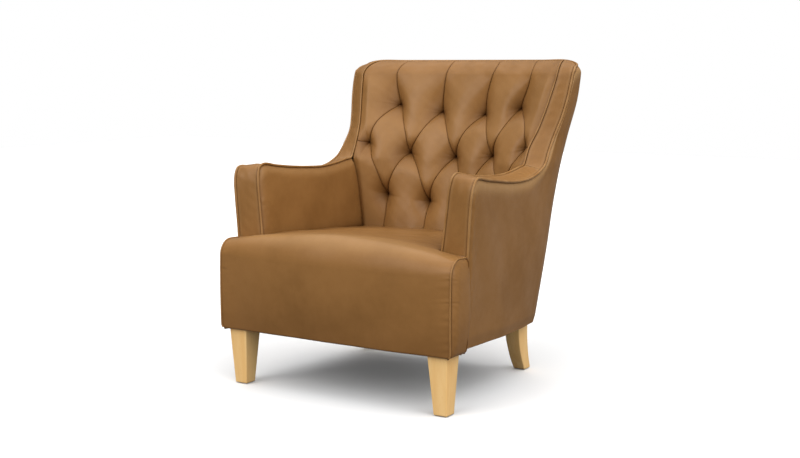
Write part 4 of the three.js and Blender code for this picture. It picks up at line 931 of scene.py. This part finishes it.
def borderPiece(name, places, openFoot, sign):
    # a strip between two seams: a parabola across, its edges rolled in and its ends sewn down,
    # apart from a foot that runs on behind the seat
    v = edgeDense(border["rows"])[None, :, None]
    start = places["outer"] + places["across"] * border["outerEdge"]
    stop = places["inner"] - places["across"] * border["innerEdge"]
    flat = lerp(start[:, None], stop[:, None], v)
    along, fromOuter, toEnd, toInner = edgeDistances(flat)
    ends = np.minimum(along + openFoot, toEnd)  # an open foot counts as a metre away
    near = np.minimum(fromOuter, toInner)
    rolled = np.maximum.reduce([rollIn(fromOuter, border["roll"]),
                                rollIn(toInner, border["roll"] * .8), rollIn(ends, border["endRoll"])])
    pull = border["pull"] * borderPull(flat) * smoothStep(near, .002, .01)
    crown = border["bulge"] * 4 * v[..., 0] * (1 - v[..., 0])
    into = places["into"][:, None]
    place = flat - into * (crown + pull - rolled)[..., None]
    # painted shade along both seams and at the sewn ends; paler beside the seams and at the ends
    values = {"fold": np.maximum(.95 * fade(near, .0024), .25 * fade(ends, .0008)),
              "rub": np.maximum(.3 * bell(near, .006, .004), .9 * bell(ends, .002, .0012))}
    far = flat[::coarse, ::coarse] + into[::coarse] * border["thick"]
    return slabMesh(name, place, far, values, sign)


for sideName, sign in bothSides:
    armStrip = borderPiece(f"armBorder_{sideName}", part(side, 0, crossAt), True, sign)
    finished(armStrip, "leather", f"arm_border_{sideName}")
    wingStrip = borderPiece(f"wingBorder_{sideName}", part(side, crossAt, tipAt), False, sign)
    finished(wingStrip, "leather", f"wing_border_{sideName}")

piping = {
    "sides": 16, "outer": .0036, "inner": .0030, "wingInner": .0023, "proud": .0032,
    "uneven": .02, "rub": .35, "rubUneven": .2, "clear": .0003,
}
cordWander = waves(61, .05)


def pipingPiece(name, places, seam, radius, inward):
    # a cord along a seam, sunk into it by a little less than its radius, and a little uneven
    rest = (np.broadcast_to(radius, len(places[seam])) - piping["proud"])[:, None]
    centre = places[seam] + places["into"] * rest + places["across"] * rest * inward
    uneven = cordWander(centre)
    # the cord is paler by a painted highlight and by wear, unevenly along it
    rub = np.clip(piping["rub"] + piping["rubUneven"] * uneven, 0, 1)
    first, second = places["across"], squareTo(places["across"], places["into"])
    radius = radius * (1 + piping["uneven"] * uneven)
    return cordMesh(name, centre, first, second, radius, piping["sides"], rub)


def outerPiping():
    # the outer cord runs on down behind the seat to the underside on both sides
    footZ = bodyFoot + piping["clear"]
    foot = np.array([sideX(armFront, footZ), armFront, footZ])
    low = lerp(foot, side["outer"][0], np.linspace(0, 1, 40)[:-1, None])
    run = {name: np.vstack([low if name == "outer" else np.repeat(row[:1], len(low), 0), row])
           for name, row in side.items()}
    return pipingPiece("outerPiping", overTheTop(run), "outer", piping["outer"], 1)


def innerPiping(name, sign):
    # the inner cord gets thinner where it leaves the arm
    places = part(side, 0, tipAt, sign)
    at = np.arange(len(places["inner"]))
    thinner = smoothStep(at, crossAt - 2 * fineness, crossAt + fineness)
    return pipingPiece(name, places, "inner", lerp(piping["inner"], piping["wingInner"], thinner), 0)


finished(outerPiping(), "leather_piping", "outer_piping")
for sideName, sign in bothSides:
    cord = innerPiping(f"innerPiping_{sideName}", sign)
    finished(cord, "leather_piping", f"inner_piping_{sideName}")
print("borders and piping made")

# seat
seat = {
    "half": .385, "edge": .414, "crown": .035, "rear": .396, "crownRear": .007, "round": .003,
    "radius": .044, "softRadius": .062, "softHeight": .084, "pillow": .016, "bulge": .005,
    "swell": .002, "columns": 121, "wing": 25, "cap": 21, "front": 80, "arc": 44, "top": 20,
    "deck": 84, "turn": .0055, "under": .012, "skirt": .045, "shell": .005, "capBulge": .0025,
    "capSeam": .3765, "return": .336, "footTurn": .006, "footHeight": .014, "armGap": .0012,
    "tuckIn": .012, "capRoll": .0042, "backRoll": .018, "armRoll": .010, "rearRoll": .0022,
    "uneven": .0016, "pull": .0009, "tuck": .0007, "merge": 1e-6,
    "throatAt": .76, "deckHeight": .41, "deckGap": .0006, "blockGap": .0013, "lastSink": .004,
    "underHalf": .34, "underFront": .045,
    "marks": [(1, .3655, .013, .0016), (1, .3080, .016, .0020), (-1, .335, .014, .0014),
              (-1, .265, .012, .0012)],
    "weltRadius": .0022, "weltSides": 12, "weltSunk": .0016, "weltBack": .0012, "weltRub": .3,
}
seatBack = armFront - seat["blockGap"]
endHeights = lerp(bodyFoot, seat["edge"], np.array([0, .15, .45, .8, .95, 1.02]))
blockHalf = throughTable(endHeights, np.array([.981, .993, 1, .998, .988, .97]) * seat["half"])
seatWander, seatPull, seatTuck = waves(71, .16), waves(73, .018), waves(75, .03)


def footTurn(z):
    # the lower corners turn in by a parabola
    return seat["footTurn"] * np.clip(1 - (z - bodyFoot) / seat["footHeight"], 0, 1) ** 2


def capSeam(z):
    # the seam between the front and an end cap stands nearly upright, inside the cap's crown
    return np.minimum(blockHalf(z), seat["capSeam"]) - footTurn(z)


def deckRear(x, z):
    # where the seat meets the hollow back
    return backFace(np.clip(x, -seamX(z), seamX(z)), z) - seat["deckGap"]


def seatTop(across, y):
    # height of the seat: a parabola across, lower and flatter towards the back
    along = np.clip((y - armFront) / (deckRear(0, body["backFoot"]) - armFront), -1, 1)
    back = np.maximum(along, 0)
    crown = lerp(seat["crown"], seat["crownRear"], back)
    hump = seat["round"] * 4 * back * (1 - along)
    return lerp(seat["edge"], seat["rear"], along) + crown * (1 - across ** 2) + hump


def seatProfile(across):
    # depth and height from the lower front edge up the front, over the top edge by a quarter of
    # an ellipse and back to the arms. The front swells forward away from its ends.
    soft = 1 - across ** 2
    front = seat["bulge"] * across ** 2
    reach, height = [lerp(seat["radius"], seat[k], soft) for k in ("softRadius", "softHeight")]
    out = seat["pillow"] * soft
    arcTop = seatTop(across, front - out + reach)
    up = np.linspace(0, 1, seat["front"])
    rising = stacked(front + seat["swell"] * (2 * up - 1) ** 2 - out * np.sin(np.pi / 2 * up),
                     lerp(bodyFoot, arcTop - height, up))
    turn = np.linspace(0, np.pi / 2, seat["arc"])[1:]
    over = stacked(front - out + seat["swell"] * np.cos(turn) + reach * (1 - np.cos(turn)),
                   arcTop - height * (1 - np.sin(turn)))
    y = np.linspace(front - out + reach, seatBack, seat["top"])[1:]
    return np.concatenate([rising, over, stacked(y, seatTop(across, y))])


def seatBlock(throat):
    # the front block's cover from seam to seam; its wings pass in front of the arms
    wing = lerp(throat, 1, edgeDense(seat["wing"], ease=.7))[1:]
    across = np.concatenate([-wing[::-1], np.linspace(-throat, throat, seat["columns"]), wing])
    y, z = np.moveaxis([seatProfile(s) for s in across], -1, 0)
    return stacked(across[:, None] * capSeam(z), y, z), len(wing)


def seatCap(end):
    # the right end cap, straight from the block's end to an upright rear edge: its face is
    # reached by a quarter sine and bulges by a parabola. Four columns close it behind.
    share = runLengths(end[None], 1)[0]
    share = share / share[-1]
    rearZ = lerp(bodyFoot, end[-1, 2], share)
    over = edgeDense(seat["cap"], ease=.75)[1:, None]
    cap = lerp(end, stacked(blockHalf(rearZ), seatBack, rearZ), over[..., None])
    z = cap[..., 2]
    outer = np.sin(np.pi / 2 * np.clip(over / .3, 0, 1))
    bulge = seat["capBulge"] * (4 * over * (1 - over)) * np.sin(np.pi * share)
    cap[..., 0] = lerp(capSeam(z), blockHalf(z) - footTurn(z), outer) + bulge
    back = np.array([.06, .2, .5, 1])[:, None]
    behind = stacked(lerp(cap[-1, :, 0], seat["return"], back), seatBack - .003 * back, z[-1:])
    return np.concatenate([cap, behind])


def seatDeck(throat, outside):
    # the seat between the arms and back to the inside back, with its distances from both; its
    # outer columns hang down beside the arms
    s = np.linspace(-1, 1, seat["columns"])[:, None]
    rear = deckRear(s * seamX(body["backFoot"]), seat["deckHeight"]) + seat["tuckIn"]
    y = lerp(seatBack, rear, np.linspace(0, 1, seat["deck"])[None, 1:])
    z = seatTop(s * throat, y)
    half = armX(y, z) - seat["armGap"]
    deck = stacked(s * half, y, z)
    hang = np.linspace(0, 1, outside + 1)[1:, None]
    skirt = deck[-1] + stacked(.003 * np.sin(np.pi * hang / 2), 0, -hang ** 1.3 * seat["skirt"])
    return np.concatenate([skirt[::-1] * [-1, 1, 1], deck, skirt]), (1 - np.abs(s)) * half, rear - y


def seatMarks(place, fromCap):
    # short level pull marks beside the end caps: a groove under a low ridge, fading from the seam
    lift = 0 * fromCap
    for sign, z, reach, depth in seat["marks"]:
        off = place[..., 2] - z + .12 * (fromCap - .01)
        mark = .7 * bell(off, .0055, .0035) - bell(off, 0, .0022)
        onFace = (place[..., 0] * sign > 0) & (place[..., 1] < .03)
        lift += depth * mark * fade(fromCap, reach) * smoothStep(fromCap, .003, .009) * onFace
    return lift


def seatPiece():
    # one sheet: columns run across from end cap to end cap, rows from the lower front edge over
    # the top to the back. It is moved along its normals by pulls and tucks, and in at its seams.
    zTop = seatTop(seat["throatAt"], seatBack)
    throat = (armX(seatBack, zTop) - seat["armGap"]) / capSeam(zTop)
    block, wingCount = seatBlock(throat)
    cap = seatCap(block[-1])
    front = np.concatenate([cap[::-1] * [-1, 1, 1], block, cap])
    rows, caps, outside = front.shape[1], len(cap), len(cap) + wingCount
    deck, besideArm, beforeBack = seatDeck(throat, outside)
    sheet = np.concatenate([front, deck], axis=1)
    normal = unit(np.cross(np.gradient(sheet, axis=0), np.gradient(sheet, axis=1)))
    if normal[len(front) // 2, seat["front"] // 2, 1] > 0:
        normal = -normal
    # distances to the seams that pull the cover in, or a metre where a seam is elsewhere
    fromCap, fromArm, toBack, toRear = np.ones((4, *sheet.shape[:2]))
    fromCap[caps:-caps, :rows] = capSeam(block[..., 2]) - np.abs(block[..., 0])
    capAway = np.linalg.norm(cap - block[-1], axis=-1)
    fromCap[-caps:, :rows], fromCap[:caps, :rows] = capAway, capAway[::-1]
    fromArm[outside:-outside, rows:], toBack[outside:-outside, rows:] = besideArm, beforeBack
    for columns in (slice(outside), slice(-outside, None)):
        toRear[columns, :rows] = seatBack - front[columns, :, 1]
    up = sheet[..., 2] - bodyFoot
    rolled = rollIn(fromCap, seat["capRoll"]) + rollIn(toBack, seat["backRoll"])
    rolled = rolled + rollIn(fromArm, seat["armRoll"])
    rolled = np.maximum.reduce([rolled, rollIn(toRear, seat["rearRoll"]), rollIn(up + .0004, seat["turn"])])
    calm = smoothStep(fromCap, .002, .012) * smoothStep(fromArm, 0, .02) * smoothStep(toBack, 0, .02)
    pull = seat["pull"] * seatPull(sheet * [.35, 1, 1]) * fade(fromCap, .016)
    pull = pull * smoothStep(fromCap, .0035, .009)
    tuck = seat["tuck"] * seatTuck(sheet) * (fade(fromArm, .03) + fade(toBack, .035)) * calm
    uneven = seat["uneven"] * seatWander(sheet) * smoothStep(fromCap, 0, .05) * calm
    lift = uneven + pull + tuck + seatMarks(sheet, fromCap) - rolled
    lift[:, -1] -= seat["lastSink"]
    place = sheet + normal * lift[..., None]
    # the cover turns under at the foot
    foot = place[:, :1]
    half = seat["underHalf"]
    centre = stacked(np.clip(foot[..., 0], -half, half), np.maximum(foot[..., 1], seat["underFront"]), 0.)
    under = foot + unit((centre - foot) * [1, 1, 0]) * seat["under"] + [0, 0, .0006]
    place = np.concatenate([under, place], axis=1)
    near = np.minimum(fromArm, toBack)
    seams = np.minimum.reduce([fromCap, near, toRear + .001])
    # painted shade in the seams and broadly beside the arms and the back, and darker towards the bottom of
    # the front
    fold = .85 * fade(seams, .0019) + .3 * fade(near, .010) + .42 * fade(near, .08)
    fold = np.clip(fold, 0, 1) * smoothStep(up, -.006, .010) + .2 * smoothStep(-up, -.16, 0)
    # a painted highlight on the front's top edge
    rub = .55 * smoothStep(sheet[..., 2], .40, .44) * smoothStep(-sheet[..., 1], -.16, -.02)
    values = {"fold": np.clip(fold, 0, 1), "rub": rub}
    values = {k: np.concatenate([v[:, :1], v], axis=1).ravel() for k, v in values.items()}
    quads = gridQuads(*place.shape[:2])
    return makeMesh("seatCover", place.reshape(-1, 3), quads, (), values, 60), block[-1, 1:]


def seatWelt(name, sign):
    # a thin welt along the end cap's seam, from the lower front corner to the arm
    line = capLine * [sign, 1, 1]
    way = unit(np.gradient(line, axis=0))
    outwards = squareTo(way, np.array([sign, 0, 0]) * np.ones_like(line))
    second = np.cross(way, outwards)
    centre = line - outwards * seat["weltSunk"] - second * seat["weltBack"] * sign
    # the welt is paler by a painted highlight
    sizes = seat["weltRadius"], seat["weltSides"], seat["weltRub"]
    return cordMesh(name, centre, outwards, second, *sizes)


seatCover, capLine = seatPiece()
weldAndThicken(seatCover, seat["merge"], seat["shell"])
finished(seatCover, "leather", "seat")
for sideName, sign in bothSides:
    finished(seatWelt(f"seatWelt_{sideName}", sign), "leather_piping")
print("seat made")

# legs: width and depth at the top and the foot, and a sweep of one for a straight leg
legs = {
    "front": {"top": (.059, .066), "foot": (.040, .040), "outer": .357, "inset": .007,
              "front": .019, "setback": .013, "sweep": 1, "ease": .95},
    "rear": {"top": (.050, .057), "foot": (.037, .038), "outer": .296975, "inset": .008,
             "front": .55103, "setback": .055, "sweep": 2, "ease": .6},
    "glide": .0028, "gap": .0003, "edge": .0022, "cornerSteps": 5, "sections": 60,
}


def legPiece(name, sign, leg):
    # rounded squares stacked up, with a quarter circle at each of their corners, which is drawn
    # in at the leg's two ends. Front and depth change with a power of the distance from the top.
    up = edgeDense(legs["sections"], ease=leg["ease"])
    z = lerp(legs["glide"], bodyFoot - legs["gap"], up)
    swept = (1 - up) ** leg["sweep"]
    outer = leg["outer"] - leg["inset"] * (1 - up)
    inner = outer - lerp(leg["foot"][0], leg["top"][0], up)
    front = leg["front"] + leg["setback"] * swept
    rear = front + lerp(leg["top"][1], leg["foot"][1], swept)
    edge, turn = legs["edge"], np.linspace(0, np.pi / 2, legs["cornerSteps"])
    ease = np.clip(np.minimum(z - z[0], z[-1] - z) / edge + .25, .25, 1)
    radius = (edge - edge * (1 - ease) * .6)[:, None]
    corners = (outer, rear, 1, 1), (inner, rear, -1, 1), (inner, front, -1, -1), (outer, front, 1, -1)
    rings = []
    for quarter, (x, y, alongX, alongY) in enumerate(corners):
        angle = turn + quarter * np.pi / 2
        rings.append(stacked(x[:, None] - alongX * edge + radius * np.cos(angle),
                             y[:, None] - alongY * edge + radius * np.sin(angle), z[:, None]))
    return ringMesh(name, np.concatenate(rings, axis=1) * [sign, 1, 1], None, 35)


for sideName, sign in bothSides:
    for end in ("front", "rear"):
        piece = legPiece(f"{end}Leg_{sideName}", sign, legs[end])
        finished(piece, "maple_wood", f"{end}_leg_{sideName}")
print("legs made")

# the frame's nodes that still show
for nodeName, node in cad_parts.items():
    if node.hide_render:
        continue
    material = next(m for key, m in nodeMaterials.items() if key in nodeName)
    for slot in node.material_slots:
        slot.material = material
print("frame dressed")

# room
photo = {
    "eye": (1.9355, -3.14215, .9074), "target": (.021619, -.07925, .438699), "lens": 56.94,
    "sensor": 36.,
}
room = {
    "half": 9., "floorLit": (.13, .12, .11, 1), "floorSeen": (.93, .93, .93, 1),
    "floorMirrored": .12, "floorRoughness": .9, "floorGloss": .1, "low": .34, "high": .85,
}
suns = [
    ("topSun", (0, -.5, 4.), 1.3, 80), ("keySun", (-.8, -3.6, 2.6), 1.15, 40),
    ("fillSun", (3.8, -1.2, 2.6), 1.7, 70),
]


def lookAt(thing, place):
    # from a place towards the middle of the chair
    thing.location = place
    way = Vector(photo["target"]) - thing.location
    thing.rotation_euler = way.to_track_quat("-Z", "Y").to_euler()


def rayKinds(tree):
    # whether a ray comes from the camera, and whether from a gloss or through glass
    rays = addNode(tree, "LightPath").outputs
    mirrored = maths(tree, "MAXIMUM", rays["Is Glossy Ray"], rays["Is Transmission Ray"])
    return rays["Is Camera Ray"], mirrored


def makeFloor():
    # a wide floor that the camera sees as white. It throws less light back on the chair, and a
    # gloss shows it a little brighter than that.
    half = room["half"]
    corners = np.array([[-half, -half, 0], [half, -half, 0], [half, half, 0], [-half, half, 0]])
    floor = makeMesh("floor", corners - [0, originShift, 0], np.array([[0, 1, 2, 3]]))
    material, tree, shader = newMaterial("paleFloor")
    camera, mirrored = rayKinds(tree)
    seen = maths(tree, "MAXIMUM", camera, maths(tree, "MULTIPLY", mirrored, room["floorMirrored"]))
    tone = mixColour(tree, seen, room["floorLit"], room["floorSeen"])
    feed(tree, shader, {"Base Color": tone, "Roughness": room["floorRoughness"],
                        "Specular IOR Level": room["floorGloss"]})
    floor.data.materials.append(material)


def makeStudio():
    # a studio that the camera sees as white. It lights the chair plainly all round and more from
    # above. A gloss shows it white above, a quarter as bright behind and dark in front.
    world = bpy.data.worlds.new("studio")
    bpy.context.scene.world = world
    world.use_nodes = True
    tree = world.node_tree
    camera, mirrored = rayKinds(tree)
    way = addNode(tree, "TexCoord").outputs["Generated"]
    axes = addNode(tree, "SeparateXYZ", {0: way}).outputs
    behind, above = spread(tree, axes[1], .1, .9, 0., .25), spread(tree, axes[2], .3, .85)
    sky = maths(tree, "MAXIMUM", behind, above)
    plain = spread(tree, sky, 0, 1, room["low"], room["high"])
    strength = maths(tree, "MULTIPLY_ADD", mirrored, maths(tree, "SUBTRACT", sky, plain), plain)
    strength = maths(tree, "MAXIMUM", camera, strength)
    feed(tree, tree.nodes["Background"], {"Color": (1, 1, 1, 1), "Strength": strength})


camera = addObject("camera", bpy.data.cameras.new("camera"))
camera.data.sensor_width = photo["sensor"]
camera.data.lens = photo["lens"]
lookAt(camera, photo["eye"])
bpy.context.scene.camera = camera
makeFloor()
makeStudio()
for name, place, strength, angle in suns:
    lamp = bpy.data.lights.new(name, "SUN")
    lamp.energy, lamp.angle = strength, math.radians(angle)
    lookAt(addObject(name, lamp), place)
bpy.context.scene.view_settings.view_transform = "Standard"
print("room made")
